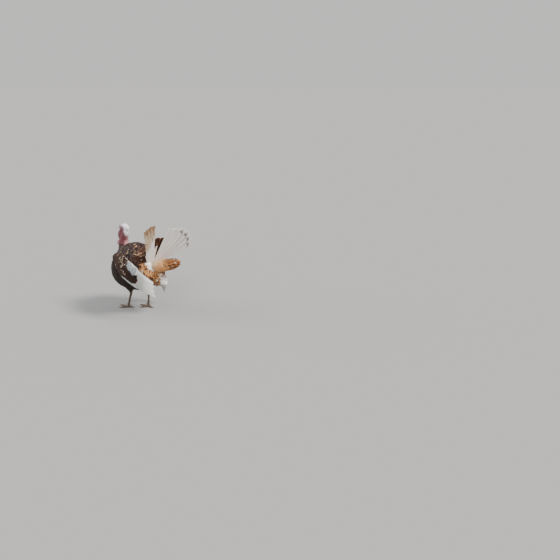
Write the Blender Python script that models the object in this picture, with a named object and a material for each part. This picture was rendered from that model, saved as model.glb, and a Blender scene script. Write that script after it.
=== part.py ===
"""A domestic tom turkey, standing in mid stride with its tail half fanned and tipped to its right.

Metres, +Z up. The bird faces -Y, so its own left side is +X. The feet stand on z = 0.
"""

import math

import bmesh
import bpy
import numpy as np
from mathutils import Matrix, Vector

# ---- driving dimensions: metres, and degrees for angles ----
GAP = 0.0004
TRUNK_POINTS = 24
TRUNK_RINGS = 21
CROWN_HEIGHT = 0.71
HEAD_LENGTH = 0.090
HEAD_HEIGHT = 0.062
HEAD_WIDTH = 0.045
NAPE_Y = -0.026
BEAK_LENGTH = 0.034
BEAK_WIDTH = 0.021
BEAK_HOOK = 0.007
EYE_RADIUS = 0.0066
TAIL_ROOT = Vector((0.0, 0.177, 0.406))
TAIL_BOW_REACH = 0.365
TAIL_RAISE = 70.0
TAIL_TURN = -20.0
TAIL_BASE = 0.015
LEFT_FEATHERS = (0.368, 0.388, 0.386)
RIGHT_FEATHERS = (0.350, 0.364, 0.384, 0.386, 0.374, 0.350)
COVERT_FEATHERS = (0.205, 0.225, 0.235, 0.240, 0.240, 0.235, 0.215, 0.190)
UNDERTAIL_LENGTH = 0.235
WING_THICKNESS = 0.030
WING_TIP_THICKNESS = 0.005
RIGHT_WING_DROOP = 22.0
RIGHT_WING_SHIFT = Vector((0.0, -0.035, 0.012))
SHOULDER = Vector((0.10, -0.03, 0.44))
HOCK_HEIGHT = 0.150
FOOT_TOP = 0.030
SHANK_RADIUS = 0.0085
LEFT_FOOT = Vector((0.040, -0.075, 0.0))
RIGHT_FOOT = Vector((-0.040, 0.070, 0.0))
TOE_RADIUS = 0.0075
TOES = (("middle", 0.0, 0.088), ("inner", 42.0, 0.066), ("outer", -40.0, 0.070), ("back", 172.0, 0.040))
CLAW_LENGTH = 0.017
SPUR_LENGTH = 0.016

MAHOGANY = (0.055, 0.022, 0.012)
RUST = (0.30, 0.12, 0.045)
BUFF = (0.55, 0.32, 0.17)
CREAM = (0.62, 0.52, 0.40)
WHITE = (0.80, 0.78, 0.75)
CROWN_WHITE = (0.78, 0.74, 0.76)
NECK_PINK = (0.60, 0.30, 0.31)
WINE = (0.20, 0.03, 0.04)
HORN = (0.42, 0.33, 0.25)
LEG = (0.10, 0.065, 0.045)
EYE_DARK = (0.015, 0.010, 0.008)


# ---- scene and materials ----
def clear_scene():
    for thing in list(bpy.data.objects):
        bpy.data.objects.remove(thing)


def new_collection(name, shown):
    collection = bpy.data.collections.new(name)
    bpy.context.scene.collection.children.link(collection)
    collection.hide_render = not shown
    return collection


def surface(name, colour, roughness):
    material = bpy.data.materials.new(name)
    material.use_nodes = True
    shader = material.node_tree.nodes["Principled BSDF"]
    shader.inputs["Base Color"].default_value = (*colour, 1.0)
    shader.inputs["Roughness"].default_value = roughness
    shader.inputs["Metallic"].default_value = 0.0
    return material


clear_scene()
BIRD = new_collection("tom_turkey", True)
CUTTERS = new_collection("cutters", False)
STUFF = {
    "dark_feather": surface("dark_feather", MAHOGANY, 0.55),
    "rust_feather": surface("rust_feather", RUST, 0.65),
    "buff_feather": surface("buff_feather", BUFF, 0.7),
    "cream_feather": surface("cream_feather", CREAM, 0.7),
    "white_feather": surface("white_feather", WHITE, 0.7),
    "pale_skin": surface("pale_skin", CROWN_WHITE, 0.5),
    "pink_skin": surface("pink_skin", NECK_PINK, 0.5),
    "wine_skin": surface("wine_skin", WINE, 0.45),
    "horn": surface("horn", HORN, 0.4),
    "leg_scale": surface("leg_scale", LEG, 0.5),
    "eye": surface("eye", EYE_DARK, 0.08),
}


# ---- shape helpers ----
def spline(stations, count):
    """A smooth run of rows through the stations (Catmull-Rom), with both ends kept."""
    rows = np.array(stations, float)
    rows = np.vstack([2 * rows[0] - rows[1], rows, 2 * rows[-1] - rows[-2]])
    found = []
    for t in np.linspace(0, len(stations) - 1, count):
        k = min(int(t), len(stations) - 2)
        u = t - k
        a, b, c, d = rows[k : k + 4]
        bend = (2 * a - 5 * b + 4 * c - d) * u * u + (3 * b - a - 3 * c + d) * u**3
        found.append(0.5 * (2 * b + (c - a) * u + bend))
    return np.array(found)


def to_object(name, stuff, build, collection=None):
    """A new object whose mesh is what build(bm) adds, with its faces turned outward."""
    bm = bmesh.new()
    build(bm)
    bmesh.ops.recalc_face_normals(bm, faces=bm.faces)
    mesh = bpy.data.meshes.new(name)
    bm.to_mesh(mesh)
    bm.free()
    mesh.shade_smooth()
    mesh.materials.append(STUFF[stuff])
    thing = bpy.data.objects.new(name, mesh)
    (collection or BIRD).objects.link(thing)
    return thing


def loft(name, stuff, rings, collection=None):
    """A closed body through rings of points. A ring of one point ends the body in a tip."""

    def build(bm):
        rows = [[bm.verts.new(p) for p in ring] for ring in rings]
        for low, high in zip(rows, rows[1:]):
            count = max(len(low), len(high))
            for i in range(count):
                j = (i + 1) % count
                corners = [low[i % len(low)], low[j % len(low)], high[j % len(high)], high[i % len(high)]]
                bm.faces.new(list(dict.fromkeys(corners)))
        for row in (rows[0], rows[-1]):
            if len(row) > 2:
                bm.faces.new(row)

    return to_object(name, stuff, build, collection)


def oval(centre, side, up, half_side, half_up, half_down, count, pear=0.0):
    """A ring round centre. pear makes it narrower at the top and wider below."""
    ring = []
    for i in range(count):
        angle = 2 * math.pi * i / count
        height = half_up if math.cos(angle) > 0 else half_down
        width = half_side * (1 - pear * math.cos(angle))
        outward = Vector(side) * width * math.sin(angle) + Vector(up) * height * math.cos(angle)
        ring.append(Vector(centre) + outward)
    return ring


def tube(name, stuff, stations, count=12, rings=12, flat=1.0, tips=(True, True), collection=None):
    """A round body along a smooth path. Each station is x, y, z, radius. flat squeezes its width along X."""
    path = spline(stations, rings)
    points = [Vector(row[:3]) for row in path]
    made = []
    for i, row in enumerate(path):
        along = (points[min(i + 1, rings - 1)] - points[max(i - 1, 0)]).normalized()
        side = (Vector((1, 0, 0)) - along * along.x).normalized()
        up = side.cross(along)
        radius = max(row[3], 0.0008)
        made.append(oval(points[i], side, up, radius * flat, radius, radius, count))
    if tips[0]:
        made[0] = [points[0]]
    if tips[1]:
        made[-1] = [points[-1]]
    return loft(name, stuff, made, collection)


def plate(name, stuff, front, back):
    """A closed thin body between two grids of points, rows along its length and columns across it."""

    def build(bm):
        grids = [[[bm.verts.new(p) for p in row] for row in grid] for grid in (front, back)]
        rows, columns = len(front), len(front[0])
        for grid in grids:
            for i in range(rows - 1):
                for j in range(columns - 1):
                    bm.faces.new((grid[i][j], grid[i][j + 1], grid[i + 1][j + 1], grid[i + 1][j]))
        rim = [(0, j) for j in range(columns)] + [(i, columns - 1) for i in range(1, rows)]
        rim += [(rows - 1, j) for j in range(columns - 2, -1, -1)] + [(i, 0) for i in range(rows - 2, 0, -1)]
        for (a, b), (c, d) in zip(rim, rim[1:] + rim[:1]):
            bm.faces.new((grids[0][a][b], grids[0][c][d], grids[1][c][d], grids[1][a][b]))

    return to_object(name, stuff, build)


def baked(thing):
    """Applies the modifiers of an object to its own mesh."""
    graph = bpy.context.evaluated_depsgraph_get()
    mesh = bpy.data.meshes.new_from_object(thing.evaluated_get(graph))
    thing.modifiers.clear()
    thing.data = mesh
    return thing


def combine(thing, other, operation):
    bpy.context.view_layer.update()
    step = thing.modifiers.new(operation.lower(), "BOOLEAN")
    step.operation = operation
    step.solver = "EXACT"
    step.object = other
    return baked(thing)


def swollen(thing, gap):
    """A cutter: a copy of a finished piece, grown outward by gap."""
    mesh = thing.data.copy()
    normals = [vertex.normal.copy() for vertex in mesh.vertices]
    for vertex, normal in zip(mesh.vertices, normals):
        vertex.co += normal * gap
    cutter = bpy.data.objects.new(thing.name + "_cutter", mesh)
    cutter.display_type = "WIRE"
    cutter.hide_render = True
    CUTTERS.objects.link(cutter)
    return cutter


def trim(thing, *neighbours, gap=GAP):
    """Cuts a piece back so that it stops a small gap short of its neighbours."""
    for neighbour in neighbours:
        combine(thing, swollen(neighbour, gap), "DIFFERENCE")
    return thing


def slice_off(thing, point, normal, keep_far):
    """Cuts a piece flat at a plane and keeps one side of it, closed again."""
    bm = bmesh.new()
    bm.from_mesh(thing.data)
    geometry = list(bm.verts) + list(bm.edges) + list(bm.faces)
    cut = bmesh.ops.bisect_plane(
        bm, geom=geometry, plane_co=point, plane_no=normal, clear_inner=keep_far, clear_outer=not keep_far
    )
    edges = [e for e in cut["geom_cut"] if isinstance(e, bmesh.types.BMEdge)]
    bmesh.ops.holes_fill(bm, edges=edges, sides=0)
    bmesh.ops.recalc_face_normals(bm, faces=bm.faces)
    bm.to_mesh(thing.data)
    bm.free()
    return thing


def part_at(thing, name, stuff, point, normal):
    """Divides a piece by a thin plane cut. What lies past the plane becomes a new piece."""
    far = bpy.data.objects.new(name, thing.data.copy())
    BIRD.objects.link(far)
    far.data.materials.clear()
    far.data.materials.append(STUFF[stuff])
    half_gap = Vector(normal).normalized() * GAP / 2
    slice_off(thing, Vector(point) - half_gap, normal, False)
    slice_off(far, Vector(point) + half_gap, normal, True)
    return far


# ---- trunk: y, top, bottom, half width at stations from breast to vent ----
TRUNK = (
    (-0.205, 0.335, 0.335, 0.000),
    (-0.194, 0.400, 0.268, 0.066),
    (-0.162, 0.466, 0.214, 0.113),
    (-0.108, 0.527, 0.182, 0.149),
    (-0.045, 0.552, 0.168, 0.171),
    (0.030, 0.565, 0.166, 0.178),
    (0.090, 0.548, 0.180, 0.170),
    (0.145, 0.478, 0.208, 0.147),
    (0.195, 0.422, 0.243, 0.114),
    (0.240, 0.380, 0.270, 0.074),
    (0.262, 0.325, 0.325, 0.000),
)


def make_trunk():
    rings = []
    path = spline(TRUNK, TRUNK_RINGS)
    for y, top, bottom, half in path:
        middle = (top + bottom) / 2
        deep = max((top - bottom) / 2, 0)
        rings.append(oval((0, y, middle), (1, 0, 0), (0, 0, 1), max(half, 0), deep, deep, TRUNK_POINTS, 0.10))
    rings[0] = [Vector((0, path[0][0], path[0][1]))]
    rings[-1] = [Vector((0, path[-1][0], path[-1][1]))]
    return loft("trunk", "dark_feather", rings)


# ---- head ----
# Each station: share of the head's length, height of its middle, half height, half width, as shares.
HEAD = (
    (0.00, 0.30, 0.00, 0.00),
    (0.05, 0.36, 0.27, 0.28),
    (0.20, 0.45, 0.44, 0.43),
    (0.40, 0.50, 0.50, 0.50),
    (0.60, 0.50, 0.44, 0.47),
    (0.78, 0.44, 0.34, 0.37),
    (0.92, 0.39, 0.25, 0.27),
    (1.00, 0.36, 0.20, 0.21),
)


def make_head():
    floor = CROWN_HEIGHT - HEAD_HEIGHT
    path = spline(HEAD, 13)
    rings = []
    for share, middle, deep, wide in path:
        centre = (0, NAPE_Y - share * HEAD_LENGTH, floor + middle * HEAD_HEIGHT)
        high = max(deep * HEAD_HEIGHT, 0.001)
        rings.append(oval(centre, (1, 0, 0), (0, 0, 1), max(wide * HEAD_WIDTH, 0.001), high, high, 16, 0.06))
    rings[0] = [Vector((0, NAPE_Y, floor + HEAD[0][1] * HEAD_HEIGHT))]
    return loft("head", "pale_skin", rings)


def eye_place(side):
    return Vector((side * HEAD_WIDTH * 0.345, NAPE_Y - 0.60 * HEAD_LENGTH, CROWN_HEIGHT - 0.44 * HEAD_HEIGHT))


def make_eye(name, side):
    def build(bm):
        place = Matrix.Translation(eye_place(side))
        bmesh.ops.create_uvsphere(bm, u_segments=10, v_segments=6, radius=EYE_RADIUS, matrix=place)

    return to_object(name, "eye", build)


def beak_half(name, mouth, depth, length, upward):
    """One half of the beak: a half round blade, flat on the mouth line, that narrows to a tip."""
    root = NAPE_Y - HEAD_LENGTH + 0.010
    rings = []
    steps = 7
    count = 10
    for i in range(steps):
        t = i / (steps - 1)
        narrow = (1 - t**1.7) ** 0.8
        line = mouth - BEAK_HOOK * (t * length / BEAK_LENGTH) ** 2.2
        half = BEAK_WIDTH / 2 * narrow + 0.0006
        high = depth * narrow + 0.0007
        ring = []
        for k in range(count):
            angle = math.pi * k / (count - 1)
            height = line + upward * high * math.sin(angle)
            ring.append(Vector((half * math.cos(angle), root - t * length, height)))
        rings.append(ring)
    return loft(name, "horn", rings)


def make_snood(rooted):
    """The fleshy snood hangs from the brow over the right side of the beak."""
    stations = (
        (-0.002, rooted + 0.010, 0.6830, 0.0030),
        (-0.004, rooted - 0.002, 0.6835, 0.0058),
        (-0.014, rooted - 0.012, 0.676, 0.0060),
        (-0.022, rooted - 0.016, 0.655, 0.0060),
        (-0.022, rooted - 0.015, 0.628, 0.0068),
        (-0.020, rooted - 0.013, 0.604, 0.0062),
        (-0.019, rooted - 0.012, 0.590, 0.0020),
    )
    return tube("snood", "wine_skin", stations, count=8, rings=12)


def make_dewlap():
    """The throat wattle: a leaf-shaped fold from the chin to the front of the neck."""
    stations = (
        (0.0, -0.100, 0.658, 0.006),
        (0.0, -0.112, 0.640, 0.019),
        (0.0, -0.118, 0.615, 0.027),
        (0.0, -0.117, 0.590, 0.028),
        (0.0, -0.112, 0.568, 0.020),
        (0.0, -0.108, 0.556, 0.004),
    )
    return tube("dewlap", "wine_skin", stations, count=12, rings=12, flat=0.50)


def make_caruncles():
    """The cluster of round lobes where the bare neck meets the breast, made as one lumpy body."""

    def build(bm):
        place = Matrix.Translation((0.0, -0.128, 0.548)) @ Matrix.Diagonal((0.037, 0.026, 0.021, 1.0))
        bmesh.ops.create_icosphere(bm, subdivisions=3, radius=1.0, matrix=place)
        for vertex in bm.verts:
            lobe = math.sin(vertex.co.x * 260) * math.cos(vertex.co.z * 300 + vertex.co.y * 170)
            vertex.co += (vertex.co - Vector((0.0, -0.128, 0.548))).normalized() * 0.0022 * lobe

    return to_object("caruncles", "pink_skin", build)


NECK = (
    (0.0, -0.070, 0.430, 0.046),
    (0.0, -0.092, 0.495, 0.056),
    (0.0, -0.098, 0.540, 0.044),
    (0.0, -0.088, 0.585, 0.0325),
    (0.0, -0.073, 0.620, 0.0295),
    (0.0, -0.064, 0.650, 0.0270),
    (0.0, -0.064, 0.668, 0.0170),
)


# ---- tail ----
def tail_frame():
    """Directions of the fan: its middle feather when upright, its left side, and the face toward the head."""
    turn = Matrix.Rotation(math.radians(TAIL_TURN), 3, "Z")
    raised = math.radians(TAIL_RAISE)
    up = turn @ Vector((0, math.cos(raised), math.sin(raised)))
    left = turn @ Vector((1, 0, 0))
    return up, left, left.cross(up).normalized()


def feather_reach(share, lengths):
    """How far a group's edge reaches at a share of its width: each feather ends in its own rounded tip."""
    place = min(share * len(lengths), len(lengths) - 0.001)
    across = 2 * (place % 1.0) - 1
    return lengths[int(place)] * (1 - 0.075 * abs(across) ** 3 - 0.02 * across**2)


def tail_group(name, stuff, angles, lengths, half_root, aside=0.0, offset=0.0, half=0.002, curve=0.022):
    """A run of tail feathers between two angles of the fan, one thin plate with a scalloped end.

    half_root is half the group's width at its root, aside moves the root to the left, offset and curve
    move the plate toward the head and bow it back, and half is half its thickness.
    """
    up, left, face = tail_frame()
    middle = math.radians(sum(angles) / 2)
    half_spread = math.radians(angles[0] - angles[1]) / 2
    columns = len(lengths) * 4 + 1
    rows = 5
    near = [[] for _ in range(rows)]
    far = [[] for _ in range(rows)]
    for j in range(columns):
        share = j / (columns - 1)
        side = 1 - 2 * share
        angle = middle + half_spread * side
        radial = up * math.cos(angle) + left * math.sin(angle)
        sideways = left * math.cos(middle) - up * math.sin(middle)
        reach = feather_reach(share, lengths)
        for i in range(rows):
            t = i / (rows - 1)
            distance = TAIL_BASE + (reach - TAIL_BASE) * t
            bow = offset - curve * (distance / TAIL_BOW_REACH) ** 2
            place = TAIL_ROOT + radial * distance + sideways * (aside + half_root * side) + face * bow
            near[i].append(place + face * half * (1.8 - t))
            far[i].append(place - face * half * (1.8 - t))
    return plate(name, stuff, near, far)


def make_undertail():
    """The long coverts under the tail, a flattened bundle that points back and to the right."""
    along = Vector((-0.20, 0.955, 0.21)).normalized()
    across = Vector((0.96, 0.20, 0.0)).normalized()
    over = across.cross(along).normalized()
    root = Vector((0.0, 0.165, 0.380))
    widths = (
        (0.00, 0.050, 0.040),
        (0.30, 0.076, 0.050),
        (0.60, 0.088, 0.048),
        (0.85, 0.086, 0.036),
        (1.00, 0.076, 0.012),
    )
    rings = []
    count = 20
    for share, wide, deep in spline(widths, 7):
        ring = oval(root + along * share * UNDERTAIL_LENGTH, across, over, wide, deep, deep, count)
        if share > 0.9:
            ring = [p + along * 0.012 * math.cos(i * math.pi) for i, p in enumerate(ring)]
        rings.append(ring)
    return loft("undertail_coverts", "buff_feather", rings)


def make_vent():
    """The soft white fluff below the tail, behind the legs."""
    stations = (
        (0.0, 0.150, 0.300, 0.050),
        (0.0, 0.215, 0.292, 0.062),
        (0.0, 0.262, 0.280, 0.046),
        (0.0, 0.292, 0.262, 0.020),
        (0.0, 0.300, 0.250, 0.002),
    )
    return tube("vent_fluff", "white_feather", stations, count=14, rings=8, flat=1.25)


# ---- wings: x, y, z along the lower, leading edge and along the upper edge, of the left one ----
WING_LOW = (
    (0.122, -0.080, 0.432),
    (0.172, 0.000, 0.352),
    (0.188, 0.100, 0.292),
    (0.180, 0.220, 0.246),
    (0.146, 0.320, 0.190),
)
WING_HIGH = (
    (0.116, -0.068, 0.484),
    (0.160, 0.030, 0.500),
    (0.172, 0.120, 0.452),
    (0.165, 0.220, 0.378),
    (0.140, 0.318, 0.300),
)
WING_TIPS = 5


def make_wing():
    """The left wing as one plate: thick over the arm, thin and stepped at the flight feathers' tips."""
    rows = 11
    columns = WING_TIPS * 3 + 1
    low = spline(WING_LOW, rows)
    high = spline(WING_HIGH, rows)
    ends = Vector(low[-1] - low[-2]).normalized()
    front, back = [], []
    for i in range(rows):
        t = i / (rows - 1)
        chord = Vector(high[i] - low[i])
        along = Vector(low[min(i + 1, rows - 1)] - low[max(i - 1, 0)]).normalized()
        out = along.cross(chord.normalized()).normalized()
        thick = WING_TIP_THICKNESS + (WING_THICKNESS - WING_TIP_THICKNESS) * (1 - t) ** 1.2
        outer, inner = [], []
        for j in range(columns):
            share = j / (columns - 1)
            place = Vector(low[i]) + chord * share
            crown = 4 * share * (1 - share)
            bulge = 0.022 * crown * math.sin(math.pi * min(t * 0.8 + 0.25, 1.0))
            scallop = feather_reach(share, (1.0,) * WING_TIPS) - 1
            steps = (0.030 * (1 - share) + 0.30 * scallop) * t**3
            blunt = 0.35 + 0.65 * crown**0.5
            middle = place + out * bulge + ends * steps
            outer.append(middle + out * thick * 0.5 * blunt)
            inner.append(middle - out * thick * 0.5 * blunt)
        front.append(outer)
        back.append(inner)
    return plate("wing_left", "dark_feather", front, back)


def mirrored(thing, name):
    """The same piece on the bird's right side."""
    mesh = thing.data.copy()
    mesh.transform(Matrix.Diagonal((-1, 1, 1, 1)))
    mesh.flip_normals()
    other = bpy.data.objects.new(name, mesh)
    BIRD.objects.link(other)
    return other


def drooped(thing, degrees):
    """Swings a right wing down about its shoulder."""
    pivot = Vector((-SHOULDER.x, SHOULDER.y, SHOULDER.z))
    swing = Matrix.Rotation(math.radians(-degrees), 4, "X")
    thing.data.transform(Matrix.Translation(pivot + RIGHT_WING_SHIFT) @ swing @ Matrix.Translation(-pivot))
    return thing


# ---- legs ----
def leg_path(foot, hip_y, side, lean):
    """Stations of a leg from the foot up: shank, hock and the feathered thigh."""
    hock = Vector((side * 0.052, foot.y + lean, HOCK_HEIGHT))
    hip = Vector((side * 0.078, hip_y, 0.30))
    knee = hock.lerp(hip, 0.45)
    return (
        (foot.x, foot.y, 0.012, SHANK_RADIUS * 1.15),
        (foot.x, foot.y + lean * 0.12, 0.035, SHANK_RADIUS),
        (foot.x + (hock.x - foot.x) * 0.5, foot.y + lean * 0.5, 0.080, SHANK_RADIUS * 0.92),
        (hock.x, hock.y, HOCK_HEIGHT - 0.016, SHANK_RADIUS * 1.25),
        (hock.x, hock.y + 0.002, HOCK_HEIGHT + 0.008, SHANK_RADIUS * 2.0),
        (knee.x, knee.y, knee.z, 0.048),
        (hip.x, hip.y, hip.z, 0.064),
    )


def make_leg(tag, foot, hip_y, side, lean, trunk):
    """Thigh, shank and foot of one leg, divided by thin level cuts at the hock and above the toes."""
    path = leg_path(foot, hip_y, side, lean)
    shank = tube("shank_" + tag, "leg_scale", path, count=10, rings=13, tips=(False, False))
    thigh = part_at(shank, "thigh_" + tag, "dark_feather", (0, 0, HOCK_HEIGHT), (0, 0, 1))
    trim(thigh, trunk)
    ankle = bpy.data.objects.new("ankle_cutter", shank.data.copy())
    CUTTERS.objects.link(ankle)
    slice_off(ankle, (0, 0, FOOT_TOP), (0, 0, 1), False)
    slice_off(shank, (0, 0, FOOT_TOP + GAP), (0, 0, 1), True)
    combine(make_foot("foot_" + tag, foot, side), ankle, "UNION")
    return shank


def toe(name, foot, turn, length):
    """A toe with its claw: padded along its length, arched a little, and cut flat underneath."""
    heading = Vector((math.sin(math.radians(turn)), -math.cos(math.radians(turn)), 0))
    shares = (
        (0.0, 0.014, 1.15),
        (0.25, 0.0073, 1.05),
        (0.5, 0.0066, 0.95),
        (0.75, 0.0058, 0.85),
        (0.92, 0.0049, 0.72),
    )
    stations = [(*(foot + heading * length * s + Vector((0, 0, z))), TOE_RADIUS * r) for s, z, r in shares]
    root = foot + heading * length
    stations.append((*(root + Vector((0, 0, 0.0050))), TOE_RADIUS * 0.5))
    claw = foot + heading * (length + CLAW_LENGTH)
    stations.append((*(claw + Vector((0, 0, 0.0015))), 0.0009))
    return tube(name, "leg_scale", stations, count=8, rings=8, tips=(True, False), collection=CUTTERS)


def make_foot(name, foot, side):
    """The ball of the foot with its four toes, joined and cut flat where it stands."""

    def build(bm):
        ball = Matrix.Diagonal((0.0145, 0.0155, 0.0140, 1.0))
        place = Matrix.Translation(foot + Vector((0, 0, 0.013))) @ ball
        bmesh.ops.create_icosphere(bm, subdivisions=2, radius=1.0, matrix=place)

    body = to_object(name, "leg_scale", build)
    for tag, turn, length in TOES:
        combine(body, toe(name + "_" + tag, foot, turn * -side, length), "UNION")
    return slice_off(body, (0, 0, 0), (0, 0, 1), True)


def make_spur(tag, foot, side, lean):
    """The tom's blunt spur on the inner back of the shank."""
    root = foot + Vector((side * 0.003, lean * 0.30, 0.058))
    tip = root + Vector((-side * 0.008, SHANK_RADIUS + SPUR_LENGTH, 0.003))
    stations = [(*root, 0.0052), (*root.lerp(tip, 0.5), 0.0038), (*tip, 0.0012)]
    return tube("spur_" + tag, "horn", stations, count=8, rings=6, tips=(False, True))


def make_beard():
    """The beard: a tuft of coarse bristles hanging from the middle of the breast."""
    stations = (
        (0.0, -0.170, 0.398, 0.006),
        (0.0, -0.203, 0.391, 0.008),
        (0.0, -0.219, 0.352, 0.009),
        (0.0, -0.221, 0.300, 0.009),
        (0.0, -0.218, 0.268, 0.004),
    )
    return tube("beard", "dark_feather", stations, count=8, rings=9)


# ---- assembly ----
def centre_on_floor():
    """Moves the whole bird so that the middle of its box is over the origin."""
    corners = np.array([v.co for thing in BIRD.objects for v in thing.data.vertices])
    low, high = corners.min(axis=0), corners.max(axis=0)
    shift = Matrix.Translation((-(low[0] + high[0]) / 2, -(low[1] + high[1]) / 2, 0.0))
    for thing in BIRD.objects:
        thing.data.transform(shift)


def build_bird():
    trunk = make_trunk()
    head = make_head()
    neck = tube("neck", "pink_skin", NECK, count=16, rings=11, tips=(False, False))
    eyes = [make_eye("eye_left", 1), make_eye("eye_right", -1)]
    trim(head, *eyes)
    trim(neck, head, trunk)
    beak_line = CROWN_HEIGHT - HEAD_HEIGHT + 0.31 * HEAD_HEIGHT
    upper = trim(beak_half("beak_upper", beak_line, 0.0115, BEAK_LENGTH, 1), head)
    lower = trim(beak_half("beak_lower", beak_line - GAP * 2, 0.0070, BEAK_LENGTH * 0.84, -1), head)
    trim(make_snood(NAPE_Y - HEAD_LENGTH), head, upper, lower)
    dewlap = trim(make_dewlap(), head, lower, neck, trunk)
    trim(make_caruncles(), neck, trunk, dewlap)
    trim(make_beard(), trunk)

    left_fan = tail_group("tail_left", "cream_feather", (15.0, 8.0), LEFT_FEATHERS, 0.027, 0.006)
    right_fan = tail_group("tail_right", "white_feather", (-17.0, -68.0), RIGHT_FEATHERS, 0.010, -0.006)
    coverts = tail_group(
        "tail_coverts", "rust_feather", (22.0, -80.0), COVERT_FEATHERS, 0.020, 0.0, 0.016, 0.005, 0.01
    )
    for fan in (left_fan, right_fan, coverts):
        trim(fan, trunk)
    trim(left_fan, right_fan)
    undertail = trim(make_undertail(), trunk, left_fan, right_fan, coverts)
    trim(make_vent(), trunk, undertail)

    wing = make_wing()
    other = drooped(mirrored(wing, "wing_right"), RIGHT_WING_DROOP)
    for piece in (wing, other):
        trim(piece, trunk)
        flight = piece.name.replace("wing", "flight_feathers")
        part_at(piece, flight, "white_feather", (0, 0.105, 0.3), (0.0, 1.0, -0.45))

    legs = (("left", LEFT_FOOT, 0.0, 1, 0.050), ("right", RIGHT_FOOT, 0.03, -1, 0.004))
    for tag, foot, hip_y, side, lean in legs:
        shank = make_leg(tag, foot, hip_y, side, lean, trunk)
        trim(make_spur(tag, foot, side, lean), shank)
    centre_on_floor()


build_bird()
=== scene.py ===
"""Looks of the standing tom turkey: skin, coat, wing and tail feathers, bare head and scaled legs."""

import math

import bpy
import numpy as np
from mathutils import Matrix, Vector
from mathutils.bvhtree import BVHTree


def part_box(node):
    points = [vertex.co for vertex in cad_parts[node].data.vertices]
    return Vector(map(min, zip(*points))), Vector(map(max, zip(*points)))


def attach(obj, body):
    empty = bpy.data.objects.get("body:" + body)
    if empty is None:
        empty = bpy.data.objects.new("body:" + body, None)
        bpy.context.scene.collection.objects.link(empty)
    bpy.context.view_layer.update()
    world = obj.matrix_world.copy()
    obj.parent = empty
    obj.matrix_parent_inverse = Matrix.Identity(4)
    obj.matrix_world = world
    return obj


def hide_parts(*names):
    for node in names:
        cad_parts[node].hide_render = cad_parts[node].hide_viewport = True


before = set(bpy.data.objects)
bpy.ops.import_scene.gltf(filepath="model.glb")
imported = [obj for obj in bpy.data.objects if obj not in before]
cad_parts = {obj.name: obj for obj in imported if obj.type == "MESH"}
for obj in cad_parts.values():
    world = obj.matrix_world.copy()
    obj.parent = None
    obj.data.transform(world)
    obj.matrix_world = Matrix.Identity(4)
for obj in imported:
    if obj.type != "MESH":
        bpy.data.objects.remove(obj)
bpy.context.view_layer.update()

# ---- places, in metres. The bird faces -Y and its own left is +X ----
BREAST_REACH = 0.205
trunk_low, trunk_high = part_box("trunk")
HOME = np.array([(trunk_low.x + trunk_high.x) / 2, trunk_low.y + BREAST_REACH, 0.0])
COAT_DEPTH = 0.010
NECK_PIVOT = (-0.038, 0.572)
THROAT_PIVOT = (-0.094, 0.644)
TAIL_ROOT = (0.0, 0.177, 0.406)
TAIL_RAISE = 70.0
TAIL_TURN = -20.0
SADDLE = (0.012, 0.158, 0.440)
# the bundle of coverts under the tail: BUNDLE_SHELL is how far its outside reaches, BUNDLE_REACH its vanes
BUNDLE_ROOT = (0.0, 0.165, 0.380)
BUNDLE_WAY = (-0.20, 0.955, 0.21)
BUNDLE_SIDE = (0.96, 0.20, 0.0)
BUNDLE_SHELL = 0.232
BUNDLE_REACH = 0.258
BUNDLE_LAYERS = 19
COVERT_WIDTH = 0.026
FAN_REACH = 0.40
EYE_CENTRE = (0.0155, -0.080, 0.6827)
EYE_RADIUS = 0.0066
EAR_PLACE = (-0.052, 0.6755)
BILL_ROOT = (-0.106, 0.6672)
BILL_LENGTH = 0.034
LOBES_CENTRE = (0.0, -0.128, 0.548)
LOBES_SIZE = (0.034, 0.023, 0.018)
# the wing's two edges from shoulder to tip
WING_LOW = (
    (0.122, -0.080, 0.432),
    (0.172, 0.000, 0.352),
    (0.188, 0.100, 0.292),
    (0.180, 0.220, 0.246),
    (0.146, 0.320, 0.190),
)
WING_HIGH = (
    (0.116, -0.068, 0.484),
    (0.160, 0.030, 0.500),
    (0.172, 0.120, 0.452),
    (0.165, 0.220, 0.378),
    (0.140, 0.318, 0.300),
)
SHOULDER = (0.10, -0.03, 0.44)
WING_NOSE = 6
NOSE_ROW = 17
NOSE_LENGTH = 0.026
FLIGHT_FEATHERS = 17
RIGHT_WING_DROOP = 22.0
RIGHT_WING_SHIFT = (0.0, -0.035, 0.012)
HOCK_HEIGHT = 0.150
SHANK_RADIUS = 0.0085
# each leg: its name, foot, how far back the hip is, its side, and how far the hock leans back
LEGS = (
    ("left", (0.040, -0.075), 0.0, 1, 0.050),
    ("right", (-0.040, 0.070), 0.03, -1, 0.004),
)
# each toe: its turn outwards in degrees, and its length
TOES = ((0.0, 0.088), (42.0, 0.066), (-40.0, 0.070), (172.0, 0.040))
TOE_RADIUS = 0.0075
CLAW_LENGTH = 0.017
LEG_GRAIN = 0.0009
BEARD_BRISTLES = 150
QUILL_THICKNESS = 0.0006
# TUFT_PATCH is a small feather's share of the unwrap, and NOWHERE a spacing where none grows
TUFT_PATCH = 0.003
NOWHERE = 9.0

# ---- where each sheet lies on the skin's unwrap: left, bottom, width and height ----
WHOLE = (0.0, 0.0, 1.0, 1.0)
BODY_ISLAND = (0.0, 0.0, 1.0, 0.66)
LEFT_WING_ISLAND = (0.0, 0.68, 0.24, 0.3)
RIGHT_WING_ISLAND = (0.27, 0.68, 0.24, 0.3)
VENT_ISLAND = (0.52, 0.68, 0.2, 0.1)
BUNDLE_ISLAND = (0.74, 0.68, 0.24, 0.14)
FAN_ISLAND = (0.74, 0.84, 0.24, 0.14)

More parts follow.
